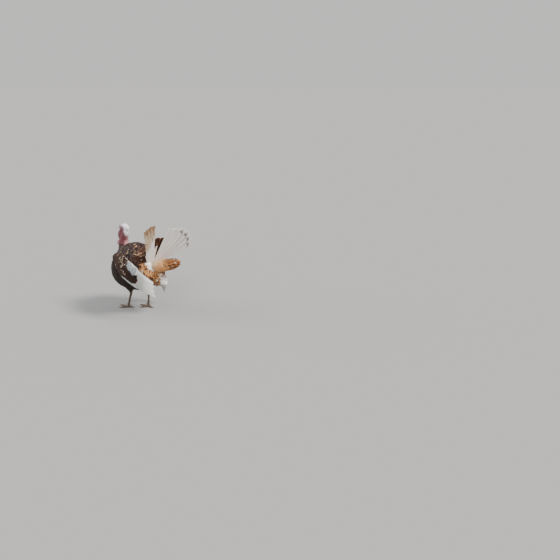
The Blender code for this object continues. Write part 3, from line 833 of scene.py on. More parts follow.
# ---- the skin of head, neck and trunk, found round the frame's own solids ----
def spine():
    """Ring centres along the body from beak to vent: y, z, the tilt of the ring's back, and its reach."""
    stations = []
    for y in np.linspace(-0.1150, -0.094, 16):
        stations.append((y, 0.6705 + (y + 0.1150) * 0.36, 0, 0.045))
    turn_y, turn_z = THROAT_PIVOT
    for share in np.linspace(0, 1, 30)[1:]:
        lean, reach = share * 90, 0.034 - 0.004 * share
        a = math.radians(lean)
        stations.append((turn_y + math.sin(a) * reach, turn_z + math.cos(a) * reach, lean, 0.06))
    for share in np.linspace(0, 1, 26)[1:]:
        stations.append((-0.066 - 0.025 * share**1.3, turn_z + (NECK_PIVOT[1] - turn_z) * share, 90, 0.07))
    pivot_y, pivot_z = NECK_PIVOT
    for share in np.linspace(0, 1, 54)[1:]:
        lean = 90 * (1 - share)
        reach = 0.053 + 0.150 * share**1.1
        a = math.radians(lean)
        stations.append((pivot_y - math.sin(a) * reach, pivot_z - math.cos(a) * reach, lean, reach + 0.05))
    for y in np.linspace(pivot_y, 0.2585, 62)[1:]:
        fall = ramp(y, 0.12, 0.26)
        stations.append((y, 0.369 - 0.044 * fall, 0, 0.26))
    return np.array(stations)


def make_skin_sheet(columns=128):
    """Rings round the spine, each point where the solids' outside is, then smoothed and drawn in."""
    corners, faces = [], []
    for name in ("trunk", "neck", "head"):
        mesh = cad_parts[name].data
        start = len(corners)
        corners += [v.co.copy() for v in mesh.vertices]
        faces += [[start + k for k in polygon.vertices] for polygon in mesh.polygons]
    tree = BVHTree.FromPolygons(corners, faces)
    rings = spine()
    points = np.zeros((len(rings), columns, 3))
    for i, (y, z, lean, reach) in enumerate(rings):
        centre = HOME + np.array([0, y, z])
        a = math.radians(lean)
        back = np.array([0, math.sin(a), math.cos(a)])
        for j in range(columns):
            angle = 2 * math.pi * j / columns
            way = np.array([1.0, 0, 0]) * math.sin(angle) + back * math.cos(angle)
            far = reach if math.cos(angle) > 0.82 or reach < 0.08 else 0.26
            hit = tree.ray_cast(Vector(centre + way * far), Vector(-way), far)[0]
            points[i, j] = centre + way * 0.002 if hit is None else np.array(hit)
    for step in range(7):
        calm = points.copy()
        before, after = np.roll(points, 1, 1)[1:-1], np.roll(points, -1, 1)[1:-1]
        calm[1:-1] = (points[:-2] + points[2:] + before + after) / 4
        clad = 1 - bare_share(points.reshape(-1, 3))
        amount = 0.6 if step < 2 else 0.6 * clad.reshape(points.shape[:2])[..., None]
        points = points * (1 - amount) + calm * amount
    return closed_rings(points)


def sculpt_head(sheet):
    """Eye hollows, brows, cheeks, ear and the warty lobes of the bare skin, raised from the smooth head."""
    points = sheet.points
    x, y, z = (points - HOME).transpose(2, 0, 1)
    bare = bare_share(points.reshape(-1, 3)).reshape(x.shape)
    lift = np.zeros_like(x)
    eye_off = np.hypot(y - EYE_CENTRE[1], z - EYE_CENTRE[2])
    on_side = ramp(np.abs(x), 0.006, 0.012)
    lift -= 0.0042 * ramp(eye_off, 0.0085, 0.0045) * on_side
    brow = np.exp(-(((z - EYE_CENTRE[2] - 0.0095) / 0.0032) ** 2) - ((y - EYE_CENTRE[1]) / 0.013) ** 2)
    lift += 0.0013 * brow * on_side
    ear = np.hypot(y - EAR_PLACE[0], (z - EAR_PLACE[1]) * 0.8)
    ear_rim = 0.0010 * np.exp(-(((ear - 0.0042) / 0.0016) ** 2))
    lift += (ear_rim - 0.0022 * ramp(ear, 0.0032, 0.0012)) * on_side
    flat = points.reshape(-1, 3)
    folds = wobble(flat * np.array([1, 1.4, 0.55]), 620, 11).reshape(x.shape)
    warts = np.maximum(wobble(flat, 700, 12), 0).reshape(x.shape)
    lower = ramp(z, 0.668, 0.640)
    lift += bare * (0.0004 * folds + 0.0007 * warts) * (0.35 + 0.65 * lower)
    lobes = np.maximum(wobble(flat, 330, 5), 0).reshape(x.shape)
    lift += bare * 0.0022 * lobes * ramp(z, 0.600, 0.560)
    depth = COAT_DEPTH * (1 - bare) * ramp(z, 0.60, 0.52)
    sheet.points = points + sheet.normal * (lift - depth)[..., None]


def make_body_sheet():
    outer = Sheet(make_skin_sheet(), True, BODY_ISLAND)
    sculpt_head(outer)
    return Sheet(outer.points, True, outer.island)


def round_sheet(stations, rows, columns, flat=1.0, island=WHOLE, depth=0.0):
    """A sheet round a smooth path of x, y, z, radius rows. flat widens it along X."""
    path = spline(stations, rows)
    centres = HOME + path[:, :3]
    along = unit(np.gradient(centres, axis=0))
    side = unit(np.array([1.0, 0, 0]) - along * along[:, :1])
    up = np.cross(side, along)
    angle = full_turn(columns)
    radius = np.maximum(path[:, 3:4] - depth, 0.001)
    spread = side[:, None] * (np.sin(angle) * flat)[:, None] + up[:, None] * np.cos(angle)[:, None]
    return Sheet(centres[:, None] + spread * radius[:, None], True, island)


def make_vent_sheet():
    stations = (
        (0.0, 0.150, 0.300, 0.050),
        (0.0, 0.215, 0.292, 0.058),
        (0.0, 0.262, 0.280, 0.042),
        (0.0, 0.292, 0.262, 0.018),
        (0.0, 0.297, 0.252, 0.004),
    )
    return round_sheet(stations, 24, 40, 1.25, VENT_ISLAND, 0.008)


def make_thigh_sheet(foot, hip_y, side, lean, island):
    hock = np.array([side * 0.052, foot[1] + lean, HOCK_HEIGHT])
    hip = np.array([side * 0.078, hip_y, 0.30])
    knee = hock + (hip - hock) * 0.45
    stations = (
        (*hip, 0.064),
        (*knee, 0.048),
        (hock[0], hock[1] + 0.002, HOCK_HEIGHT + 0.012, 0.017),
        (*hock, 0.012),
    )
    return round_sheet(stations, 26, 40, 1.0, island, 0.005)


def bundle_frame():
    """The undertail bundle's root, and the directions along, across and over it."""
    along, across = unit(np.array(BUNDLE_WAY)), unit(np.array(BUNDLE_SIDE))
    return HOME + np.array(BUNDLE_ROOT), along, across, unit(np.cross(across, along))


def make_undertail_sheet(share=1.0):
    """The flattened bundle of long coverts under the tail, pointing back and to the right."""
    root, along, across, over = bundle_frame()
    sizes = (
        (0.0, 0.046, 0.036),
        (0.3, 0.068, 0.045),
        (0.6, 0.078, 0.043),
        (0.8, 0.076, 0.034),
        (1.0, 0.066, 0.012),
    )
    rows = spline(sizes, 26)
    angle = full_turn(40)
    centres = root + along * rows[:, :1] * BUNDLE_SHELL
    wide, deep = rows[:, 1:2] * share, rows[:, 2:3] * share
    spread = across * (wide * np.sin(angle))[..., None] + over * (deep * np.cos(angle))[..., None]
    return Sheet(centres[:, None] + spread, True, BUNDLE_ISLAND)


# ---- wings ----
def make_wing_points(rows=44, columns=48):
    """The left wing as rings: each goes over the outer side from the low edge to the high one, then back."""
    low, high = spline(WING_LOW, rows), spline(WING_HIGH, rows)
    t = np.linspace(0, 1, rows)[:, None]
    angle = full_turn(columns)[None]
    share = 0.5 - 0.5 * np.cos(angle)
    along = unit(np.gradient(low, axis=0))
    out = unit(np.cross(along, unit(high - low)))
    crown = 4 * share * (1 - share)
    bulge = 0.022 * crown * np.sin(math.pi * np.minimum(t * 0.8 + 0.25, 1.0))
    thick = 0.003 + 0.022 * (1 - t) ** 1.2
    deep = thick / 2 * np.sign(np.sin(angle)) * np.abs(np.sin(angle)) ** 0.8
    chord = (high - low)[:, None] * share[..., None]
    points = low[:, None] + chord + out[:, None] * (bulge + deep)[..., None]
    centre = points[0].mean(axis=0)
    nose = []
    for a in np.linspace(0.05, math.pi / 2, WING_NOSE + 1)[:-1]:
        nose.append(centre + (points[0] - centre) * math.sin(a) - along[0] * 0.024 * math.cos(a))
    return np.concatenate([nose, points])


def wing_place(sheet, v):
    """How far along the wing a row lies: 0 at the shoulder behind the rounded nose, 1 at the tip."""
    return (v - WING_NOSE) / (sheet.rows - 1 - WING_NOSE)


def make_wing_sheet(side):
    points = make_wing_points()
    if side < 0:
        points = points * np.array([-1, 1, 1])
        pivot = np.array([-SHOULDER[0], SHOULDER[1], SHOULDER[2]])
        a = math.radians(-RIGHT_WING_DROOP)
        swing = np.array([[1, 0, 0], [0, math.cos(a), -math.sin(a)], [0, math.sin(a), math.cos(a)]])
        points = (points - pivot) @ swing.T + pivot + np.array(RIGHT_WING_SHIFT)
        return Sheet(points + HOME, True, RIGHT_WING_ISLAND)
    return Sheet(points + HOME, True, LEFT_WING_ISLAND)


def make_skin(sheets):
    """One mesh of skin under the whole coat, bare on head and neck."""
    points = np.concatenate([sheet.points.reshape(-1, 3) for sheet in sheets])
    quads, place, start = [], [], 0
    for sheet in sheets:
        quads.append(grid_quads(sheet.rows, sheet.columns, True) + start)
        u, v = np.meshgrid(np.arange(sheet.columns), np.arange(sheet.rows))
        place.append(sheet.unwrap(u.ravel(), v.ravel()))
        start += sheet.rows * sheet.columns
    bare = bare_share(points)[:, None]
    tint = bare_tint(points) * bare + coat_looks(points, 1)["ground"] * 0.6 * (1 - bare)
    uvs = {"OFBake": np.concatenate(place)}
    skin = add_mesh("skin", points, np.concatenate(quads), BARE_SKIN, uvs, {"tint": tint})
    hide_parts("head", "neck", "trunk", "thigh_left", "thigh_right", "vent_fluff", "undertail_coverts",
                "wing_left", "wing_right")


# ---- body coat ----
def evenly(spacing):
    """The same spacing all over a sheet."""
    return lambda points: np.full(len(points), spacing)


def coat_zones():
    """Parts of the coat: name, seed, spacing, length, width, lift, raised, where, finish and slot."""

    def neck_ring(x, y, z):
        return (z > 0.495) & (y < -0.03)

    def breast(x, y, z):
        return ~neck_ring(x, y, z) & (y < -0.085)

    def back(x, y, z):
        return ~neck_ring(x, y, z) & (y >= -0.085) & (z > 0.43) & ~saddle(x, y, z)

    def flanks(x, y, z):
        return (y >= -0.085) & (z <= 0.43) & (z > 0.235) & ~vent(x, y, z) & ~saddle(x, y, z)

    def belly(x, y, z):
        return (y >= -0.085) & (z <= 0.235) & ~vent(x, y, z)

    def vent(x, y, z):
        return (y > 0.19) & (z < 0.335)

    def saddle(x, y, z):
        return (x - SADDLE[0]) ** 2 + (y - SADDLE[1]) ** 2 + (z - SADDLE[2]) ** 2 < 0.066**2

    def cape(x, y, z):
        return (np.abs(x) > 0.075) & (y > -0.130) & (y < -0.085) & (z > 0.400) & (z < 0.500)

    def nape(x, y, z):
        return (y > -0.070) & (y < -0.005) & (z > 0.505) & (z < 0.575)

    return (
        ("coat_neck", 41, 0.0080, 0.033, 0.0145, 0.0040, 0.0, neck_ring, CONTOUR, "dark_feather"),
        ("coat_nape", 47, 0.0080, 0.034, 0.018, 0.0050, 0.001, nape, CONTOUR, "rust_feather"),
        ("coat_breast", 42, 0.0125, 0.048, 0.028, 0.0065, 0.0, breast, CONTOUR, "dark_feather"),
        ("coat_back", 43, 0.0125, 0.054, 0.028, 0.0070, 0.0, back, CONTOUR, "rust_feather"),
        ("coat_flanks", 44, 0.0130, 0.052, 0.028, 0.0080, 0.0, flanks, CONTOUR, "buff_feather"),
        ("coat_belly", 45, 0.0135, 0.048, 0.027, 0.0080, 0.0, belly, CONTOUR, "dark_feather"),
        ("coat_vent", 46, 0.0085, 0.050, 0.022, 0.0150, 0.0, vent, DOWN, "white_feather"),
        ("coat_saddle", 38, 0.0080, 0.048, 0.022, 0.0120, 0.0, saddle, DOWN, "white_feather"),
        ("coat_shoulders", 39, 0.0125, 0.062, 0.032, 0.0130, 0.001, cape, CONTOUR, "dark_feather"),
    )


def make_coat(sheet):
    for name, seed, spacing, length, width, lift, raised, covers, finish, slot in coat_zones():

        def gaps(points):
            x, y, z = bird_place(points)
            open_place = covers(x, y, z) & (bare_share(points) < 0.8)
            open_place &= np.linalg.norm(points - sheet.points[-1, 0], axis=1) > 0.018
            return np.where(open_place, spacing, NOWHERE)

        u, v = sheet.scatter(gaps, seed, 90000)
        pick = np.random.default_rng(seed)
        count = len(u)
        roots = sheet.read(sheet.points, u, v)
        size = pick.normal(1, 0.12, count)
        wide = width * size * pick.normal(1, 0.08, count)
        to_end = np.linalg.norm(roots - sheet.points[-1, 0], axis=1)
        long = np.minimum(length * size, to_end * 0.78)
        piece = lay_feathers(
            name, sheet, u, v, long, wide, finish, coat_looks(roots, seed), raised=raised, ragged=0.09,
            turn=pick.normal(0, 0.16, count), lift=lift * pick.uniform(0.7, 1.2, count), tip_power=2.2,
        )


def lay_thigh(name, sheet, seed):
    u, v = sheet.scatter(evenly(0.0085), seed, 20000)
    pick = np.random.default_rng(seed)
    count = len(u)
    looks = coat_looks(sheet.read(sheet.points, u, v), seed)
    looks["ground"] = CHOCOLATE * pick.normal(1, 0.15, (count, 1))
    turn = pick.normal(0, 0.12, count)
    piece = lay_feathers(name, sheet, u, v, 0.032, 0.017, CONTOUR, looks, turn=turn, lift=0.004)


def lay_vent(sheet):
    u, v = sheet.scatter(evenly(0.0075), 51, 30000)
    pick = np.random.default_rng(51)
    count = len(u)
    looks = coat_looks(sheet.read(sheet.points, u, v), 51)
    piece = lay_feathers(
        "vent_down", sheet, u, v, 0.045, 0.018, DOWN, looks, turn=pick.normal(0, 0.25, count),
        lift=pick.uniform(0.006, 0.014, count), tip_power=1.8, rows=7, columns=5,
    )


def undertail_looks(sheet, u, v, seed):
    """Buff coverts, dark brown along the top, and the last ones tipped black and then white."""
    count = len(u)
    pick = np.random.default_rng(seed)
    upper = ramp(np.cos(2 * math.pi * u / sheet.columns) + pick.normal(0, 0.12, count), 0.1, 0.7)
    far = v / sheet.rows
    band = upper * 0.85 * ramp(far, 0.16, 0.34) * (0.35 + 0.65 * ramp(far, 0.60, 0.45))
    ground = blend(BUFF, blend(MAHOGANY, TAN, 0.25) * 1.2, band)
    ground = blend(ground, RUST, ramp(far, 0.35, 0.60) * 0.4 * (1 - upper))
    ground = blend(ground, blend(CREAM, TAN, 0.4) * 0.95, ramp(far, 0.26, 0.06) * (0.35 + 0.5 * upper))
    last = ramp(far, 0.58, 0.62) * (pick.uniform(0, 1, count) > 0.90)
    looks = {
        "ground": ground,
        "fringe": blend(np.minimum(ground * 1.25, 1), WHITE, last),
        "dusk": blend(ground * 0.45, BLACK_BROWN * 0.6, last),
        "marks": np.stack([0.10 + 0.70 * last, 0.04 + 0.03 * last, 0.35 - 0.1 * last], 1),
    }
    return vary_looks(looks, pick, 0.10)


def undertail_layer(level):
    """A flat layer through the bundle, level from -1 at the bottom to 1 at the top."""
    root, along, across, over = bundle_frame()
    t = np.linspace(0, 1, 30)[:, None]
    side = np.linspace(-1, 1, 25)[None]
    wide = (0.066 + 0.014 * np.sin(t * math.pi) - 0.006 * t**3) * math.sqrt(1 - 0.70 * level**2)
    height = level * 0.044 * (1 - 0.32 * t**3) - 0.012 * level * side**2 * (1 - 0.6 * t)
    far = along * (t * BUNDLE_REACH)[..., None]
    points = root + far + across * (wide * side)[..., None] + over * height[..., None]
    return Sheet(points, False, BUNDLE_ISLAND)


def lay_short_undertail(sheet):
    """Short coverts over the bundle's root."""
    u, v = sheet.scatter(evenly(0.0110), 61, 30000)
    pick = np.random.default_rng(61)
    at_side = np.abs(np.sin(2 * math.pi * u / sheet.columns)) ** 8
    keep = v < sheet.rows * (0.60 - 0.26 * at_side - pick.uniform(0, 0.12, len(u)))
    u, v = u[keep], v[keep]
    count = len(u)
    to_end = BUNDLE_SHELL * (1 - v / (sheet.rows - 1))
    length = np.minimum(0.084 * pick.normal(1, 0.06, count), 0.88 * to_end)
    piece = lay_feathers(
        "undertail_vanes", sheet, u, v, length, COVERT_WIDTH, CONTOUR, undertail_looks(sheet, u, v, 61),
        turn=pick.normal(0, 0.10, count), lift=pick.uniform(-0.004, 0.004, count), rows=12, columns=7,
        fullest=0.72, ragged=0.08,
    )


def lay_long_undertail(sheet):
    """Stacked layers of long coverts, whose tips make the bundle's end. A few are barred and tipped."""
    for n, level in enumerate(np.linspace(-1, 1, BUNDLE_LAYERS)):
        layer = undertail_layer(level)
        count = 8 + n % 2
        pick = np.random.default_rng(640 + n)
        u = (np.arange(count) + 0.5 + pick.normal(0, 0.15, count)) / count * (layer.columns - 1)
        first = pick.uniform(0.28, 0.44, count)
        last = 0.985 - 0.09 * level**2 - pick.uniform(0, 0.07, count) - 0.06 * np.abs(u / 12 - 1) ** 3
        looks = undertail_looks(sheet, np.zeros(count), np.full(count, sheet.rows * 0.55), 640 + n)
        warm = blend(BUFF, RUST, pick.uniform(0.1, 0.7, count))
        looks["ground"] = blend(warm, MAHOGANY * 1.2, ramp(level, 0.3, 0.9) * 0.6)
        tipped = pick.uniform(0, 1, count) > 0.87
        looks["fringe"] = np.where(tipped[:, None], WHITE, looks["ground"] * 1.2)
        looks["dusk"] = np.where(tipped[:, None], BLACK_BROWN, looks["ground"] * 0.5)
        looks["marks"][:, 0] = np.where(tipped, 0.9, 0.35)
        piece = lay_feathers(
            "undertail_long_%d" % n, layer, u, first * (layer.rows - 1), BUNDLE_REACH * (last - first),
            COVERT_WIDTH, CONTOUR, looks, turn=pick.normal(0, 0.07, count),
            lift=pick.uniform(-0.004, 0.004, count), rows=14, columns=7, fullest=0.74, ragged=0.08, sink=0.0,
            raised=pick.uniform(-0.002, 0.002, count),
        )


def wing_share(sheet, u):
    """How far across the wing a column lies, 0 at the low edge, and 1 on the outer side, 0 on the inner."""
    angle = 2 * math.pi * u / sheet.columns
    return 0.5 - 0.5 * np.cos(angle), (np.sin(angle) > 0).astype(float)


def covert_looks(sheet, u, v, seed, reach):
    """Wing coverts: dark and flecked at the shoulder, then a chocolate panel below a pale grey one.

    reach is how far along the wing each feather shows.
    """
    count = len(u)
    pick = np.random.default_rng(seed)
    share, outer = wing_share(sheet, u)
    patch = wobble(sheet.read(sheet.points, u, v), 60, 17)
    share = share + patch * 0.03
    t = reach + patch * 0.012

    looks = start_looks(count, CHOCOLATE * 0.8, MAHOGANY, BLACK_BROWN * 0.6, (0.6, 0.10, 0.3))
    high = ramp(share, 0.62, 0.8) * ramp(t, 0.16, 0.24)
    flecked = (pick.uniform(0, 1, count) > 0.95 - 0.45 * high) * ramp(t, 0.50, 0.42)
    arc = 0.32 + 2.0 * (share - 0.64) ** 2
    line = ramp(np.abs(t - arc), 0.019, 0.009) * (share > 0.36) * (share < 0.80)
    top_edge = 0.60 + 1.4 * np.maximum(0.53 - t, 0)
    pale = ramp(share, top_edge, top_edge + 0.06) * ramp(t, 0.40, 0.45)
    low_edge = 0.25 + 1.9 * np.maximum(t - 0.575, 0) + 1.5 * np.maximum(0.43 - t, 0)
    light = ramp(share, low_edge, low_edge - 0.06) * ramp(t, 0.40, 0.46)
    light = np.maximum(light, ramp(t, 0.655, 0.685))
    light = np.maximum(light, ramp(share, 0.09, 0.05) * ramp(t, 0.17, 0.21))
    spot = np.hypot((t - 0.600) / 0.042, (share - 0.68) / 0.14)
    dark = ramp(spot, 1.0, 0.8) * outer
    inside = (1 - outer) * ramp(t, 0.22, 0.34)
    tint_looks(looks, flecked, fringe=blend(TAN, CREAM, 0.55) * 0.85)
    tint_looks(looks, line * 0.6, ground=MAUVE * 0.9)
    tint_looks(looks, line, fringe=CREAM * 0.9)
    tint_looks(looks, pale, ground=SLATE * 0.95, fringe=PEARL, dusk=SLATE * 0.5)
    tint_looks(looks, light, ground=PEARL * 0.92, fringe=WHITE, dusk=PEARL * 0.6)
    tint_looks(looks, dark, ground=BLACK_BROWN * 0.7, fringe=BLACK_BROWN * 0.8, dusk=BLACK_BROWN * 0.5)
    tint_looks(looks, inside, ground=PEARL * 0.8, fringe=PEARL)
    looks["marks"][:, 0] = (0.6 + 0.2 * pale) * (1 - 0.6 * light) * outer
    looks["marks"][:, 1] -= 0.03 * flecked + 0.04 * pale
    return vary_looks(looks, pick, 0.10)


def flight_looks(count, seed, ground, tip, rim, dusk=SLATE * 0.7, bar=0.1, mottle=0.15):
    """One look for a row of long feathers, each a little lighter or darker than the next."""
    looks = start_looks(count, ground, tip, dusk, (bar, rim, mottle))
    return vary_looks(looks, np.random.default_rng(seed), 0.04)


def add_thickness(piece):
    """Makes thin vanes into solid ones."""
    step = piece.modifiers.new("thickness", "SOLIDIFY")
    step.thickness = QUILL_THICKNESS
    step.offset = 0.0


def lay_coverts(tag, sheet, span, seed, pick):
    """Coverts in shingled rows, with two more rows of short ones round the shoulder's nose."""
    u, v = sheet.scatter(evenly(0.0105), seed, 40000)
    share, outer = wing_share(sheet, u)
    t = wing_place(sheet, v)
    length = 0.030 + 0.050 * ramp(t, 0.08, 0.42)
    limit = np.where(outer > 0, 0.34 + 0.32 * ramp(share, 0.12, 0.34), 0.68)
    keep = t + length / span < limit + 0.022 * np.sin(share * 23 - 1.04)
    nose = np.arange(2 * NOSE_ROW)
    slim = np.concatenate([(0.6 + 0.4 * ramp(share, 0.04, 0.30))[keep], np.ones(len(nose))])
    u = np.concatenate([u[keep], (nose + 0.5) / NOSE_ROW * sheet.columns])
    v = np.concatenate([v[keep], np.where(nose < NOSE_ROW, 0.5, 2.4)])
    t = np.concatenate([t[keep], np.zeros(len(nose))])
    length = np.concatenate([length[keep], np.full(len(nose), NOSE_LENGTH)])
    looks = covert_looks(sheet, u, v, seed, t + 0.72 * length / span)
    piece = lay_feathers(
        "wing_coverts_" + tag, sheet, u, v, length * pick.normal(1, 0.05, len(u)),
        (0.5 * length + 0.007) * slim, CONTOUR, looks, turn=pick.normal(0, 0.05, len(u)), lift=0.0035,
        rows=9, columns=7, fullest=0.68, raised=0.0028,
    )


def lay_flight_feathers(tag, sheet, side, span, seed, pick):
    """Long grey feathers with white tips, which come from under the coverts."""
    order = (np.arange(FLIGHT_FEATHERS) + 0.5) / FLIGHT_FEATHERS
    angle = np.arccos(1 - 2 * (0.02 + 0.95 * order))
    u = angle / (2 * math.pi) * sheet.columns
    start = 0.20 + 0.12 * order
    v = WING_NOSE + start * (sheet.rows - 1 - WING_NOSE)
    length = span * (0.990 - 0.035 * order - 0.03 * np.abs(np.sin(order * 9)) - start)
    looks = flight_looks(FLIGHT_FEATHERS, seed + 1, PEARL * 0.92, WHITE, 0.10)
    if side > 0:
        looks["fringe"][0] = blend(WHITE, FLESH_PINK, 0.14)
    grey = blend(PEARL, SLATE, 0.35) * pick.normal(0.92, 0.04, (FLIGHT_FEATHERS, 1))
    to_tip = ramp(np.linspace(0, 1, 21), 0.62, 0.88)[None, :, None]
    looks["ground"] = grey[:, None] * (1 - to_tip) + WHITE * to_tip
    looks["fringe"] = PEARL * 0.97 * (1 - to_tip) + looks["fringe"][:, None] * to_tip
    feathers = lay_feathers(
        "flight_vanes_" + tag, sheet, u, v, length, 0.030, QUILL, looks, lift=0.001, sink=0.0, rows=30,
        columns=9, fullest=0.80, tip_power=2.0, camber=0.02, roll=0.10 * side, raised=0.0014, strips=True,
        ragged=0.006, at_root=0.6,
    )
    add_thickness(feathers)
    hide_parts("flight_feathers_" + tag)


def lay_wing(tag, sheet, side, seed):
    span = np.linalg.norm(np.diff(sheet.points[WING_NOSE:, 6], axis=0), axis=1).sum()
    pick = np.random.default_rng(seed)
    lay_coverts(tag, sheet, span, seed, pick)
    lay_flight_feathers(tag, sheet, side, span, seed, pick)


# ---- tail ----
def tail_frame():
    """Directions of the fan: its middle feather when upright, its left side, and the face toward the head."""
    turn, raised = math.radians(TAIL_TURN), math.radians(TAIL_RAISE)
    up = np.array([-math.sin(turn) * math.cos(raised), math.cos(turn) * math.cos(raised), math.sin(raised)])
    left = np.array([math.cos(turn), math.sin(turn), 0.0])
    return up, left, unit(np.cross(left, up))


def fan_sheet(angles, half_root, aside, offset, curve, reach):
    """A sheet over part of the fan: rows run out from the root and columns go across."""
    up, left, face = tail_frame()
    middle = math.radians(sum(angles) / 2)
    half_spread = math.radians(angles[0] - angles[1]) / 2
    side = np.linspace(1, -1, 33)[None, :, None]
    distance = np.linspace(0.015, reach, 60)[:, None, None]
    angle = middle + half_spread * side
    radial = up * np.cos(angle) + left * np.sin(angle)
    sideways = left * math.cos(middle) - up * math.sin(middle)
    bow = offset - curve * (distance / 0.365) ** 2
    root = HOME + np.array(TAIL_ROOT)
    points = root + radial * distance + sideways * (aside + half_root * side) + face * bow
    return Sheet(points, False, FAN_ISLAND)


def lay_fan(name, sheet, lengths, width, looks, node, reach, start=0.03, roll=0.025, lift=0.001, raised=0.0):
    """A row of long tail feathers, one for each length, side by side and a little over each other."""
    count = len(lengths)
    u = (np.arange(count) + 0.5) / count * (sheet.columns - 1)
    v = np.full(count, (start - 0.015) / (reach - 0.015) * (sheet.rows - 1))
    piece = lay_feathers(
        name, sheet, u, v, np.array(lengths) - start, width, QUILL, looks, lift=lift, sink=0.0, rows=34,
        columns=11, fullest=0.90, tip_power=2.4, camber=0.02, roll=roll, raised=raised, strips=True,
        ragged=0.012, at_root=0.16,
    )
    add_thickness(piece)
    if node:
        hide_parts(node)
    return piece


def lay_fan_feathers():
    """The large feathers: four narrow cream ones at the left and six broad white ones at the right."""
    left = fan_sheet((15.0, 8.0), 0.027, 0.006, 0.0, 0.022, FAN_REACH)
    left_lengths = (0.362, 0.378, 0.388, 0.386)
    looks = flight_looks(4, 71, blend(TAN, CREAM, 0.72), CREAM, 0.02, COPPER * 0.6)
    pale_to = np.array([0.28, 0.34, 0.46, 0.58])[:, None]
    to_tip = ramp(np.linspace(0, 1, 21)[None], pale_to, pale_to + 0.14)[..., None]
    looks["ground"] = WHITE * (1 - to_tip) + looks["ground"][:, None] * to_tip
    looks["fringe"] = WHITE * (1 - to_tip) + blend(TAN, COPPER, 0.4) * 0.85 * to_tip
    looks["marks"] = np.array([0.2, 0.035, 0.0]) + np.array([0, 0, 0.9]) * to_tip
    feathers = lay_fan("tail_vanes_left", left, left_lengths, 0.046, looks, "tail_left", FAN_REACH)
    right = fan_sheet((-15.0, -67.0), 0.010, -0.018, 0.0, 0.022, FAN_REACH)
    right_lengths = (0.350, 0.364, 0.384, 0.386, 0.374, 0.350)
    looks = flight_looks(6, 72, WHITE * 0.95, WHITE, 0.03, MAHOGANY)
    looks["marks"] = np.array([[0.0, 0.05, 0.02], [0.15, 0.05, 0.03]] + [[0.8, 0.05, 0.07]] * 4)
    feathers = lay_fan("tail_vanes_right", right, right_lengths, 0.078, looks, "tail_right", FAN_REACH)


def lay_fan_coverts():
    """Three rows of dark coverts over the fan's root."""
    coverts = fan_sheet((15.0, -64.0), 0.040, -0.006, 0.016, 0.010, 0.26)
    long_ones = (0.205, 0.228, 0.238, 0.242, 0.240, 0.228, 0.205, 0.175)
    for name, lengths, node, raised, seed in (
        ("tail_covert_vanes", long_ones, "tail_coverts", 0.0, 73),
        ("tail_covert_vanes_short", [0.78 * n for n in long_ones] + [0.13], None, 0.005, 74),
        ("tail_covert_vanes_shortest", [0.52 * n for n in long_ones], None, 0.010, 77),
    ):
        ground, fringe, dusk = MAHOGANY * 1.1, COPPER * 0.7, BLACK_BROWN * 0.6
        looks = flight_looks(len(lengths), seed, ground, fringe, 0.04, dusk, 0.8, 0.8)
        piece = lay_fan(name, coverts, lengths, 0.054, looks, node, 0.26, 0.02, 0.05, 0.002, raised)


def lay_fan_base():
    """Short white feathers at the fan's base, and one thin white plume."""
    petals = fan_sheet((20.0, 4.0), 0.028, 0.008, -0.004, 0.020, 0.22)
    rows = (
        ("fan_base_petals", (0.118, 0.146, 0.164, 0.168, 0.140), 0.040, 0.0),
        ("fan_base_petals_short", (0.086, 0.100, 0.112, 0.120, 0.100), 0.040, -0.005),
    )
    for name, lengths, width, raised in rows:
        looks = flight_looks(len(lengths), 75, WHITE, WHITE, 0.05, mottle=0.0)
        piece = lay_fan(name, petals, lengths, width, looks, None, 0.22, 0.02, 0.05, 0.003, raised)
    spike = fan_sheet((-1.0, -7.0), 0.008, -0.002, -0.004, 0.018, 0.24)
    looks = flight_looks(1, 76, WHITE, WHITE, 0.05)
    lay_fan("single_white_plume", spike, (0.178,), 0.014, looks, None, 0.24)


# ---- solid forms: legs, claws, beak, wattles, lids and beard ----
def closed_tube(stations, rows, columns, flat=1.0):
    return closed_rings(round_sheet(stations, rows, columns, flat).points)


def join_rings(forms):
    """Points and faces of many rings-by-columns forms as one list."""
    points, quads, start = [], [], 0
    for form in forms:
        rows, columns = form.shape[:2]
        points.append(form.reshape(-1, 3))
        quads.append(grid_quads(rows, columns, True) + start)
        start += rows * columns
    return np.concatenate(points), np.concatenate(quads)


def leg_stations(foot, side, lean):
    r = SHANK_RADIUS
    hock = (side * 0.052, foot[1] + lean)
    return (
        (foot[0], foot[1], 0.012, r * 1.15),
        (foot[0], foot[1] + lean * 0.12, 0.035, r),
        ((foot[0] + hock[0]) / 2, foot[1] + lean * 0.5, 0.080, r * 0.92),
        (hock[0], hock[1], 0.134, r * 1.25),
        (hock[0], hock[1] + 0.002, 0.160, r * 1.75),
    )


def toe_stations(foot, side, turn, length):
    a = math.radians(-turn * side)
    way = (math.sin(a), -math.cos(a))
    shares = (
        (0.0, 0.014, 1.15),
        (0.25, 0.0073, 1.05),
        (0.5, 0.0066, 0.95),
        (0.75, 0.0058, 0.85),
        (0.92, 0.0049, 0.72),
    )
    rows = []
    for t, z, k in shares:
        rows.append((foot[0] + way[0] * length * t, foot[1] + way[1] * length * t, z, TOE_RADIUS * k))
    return rows, way


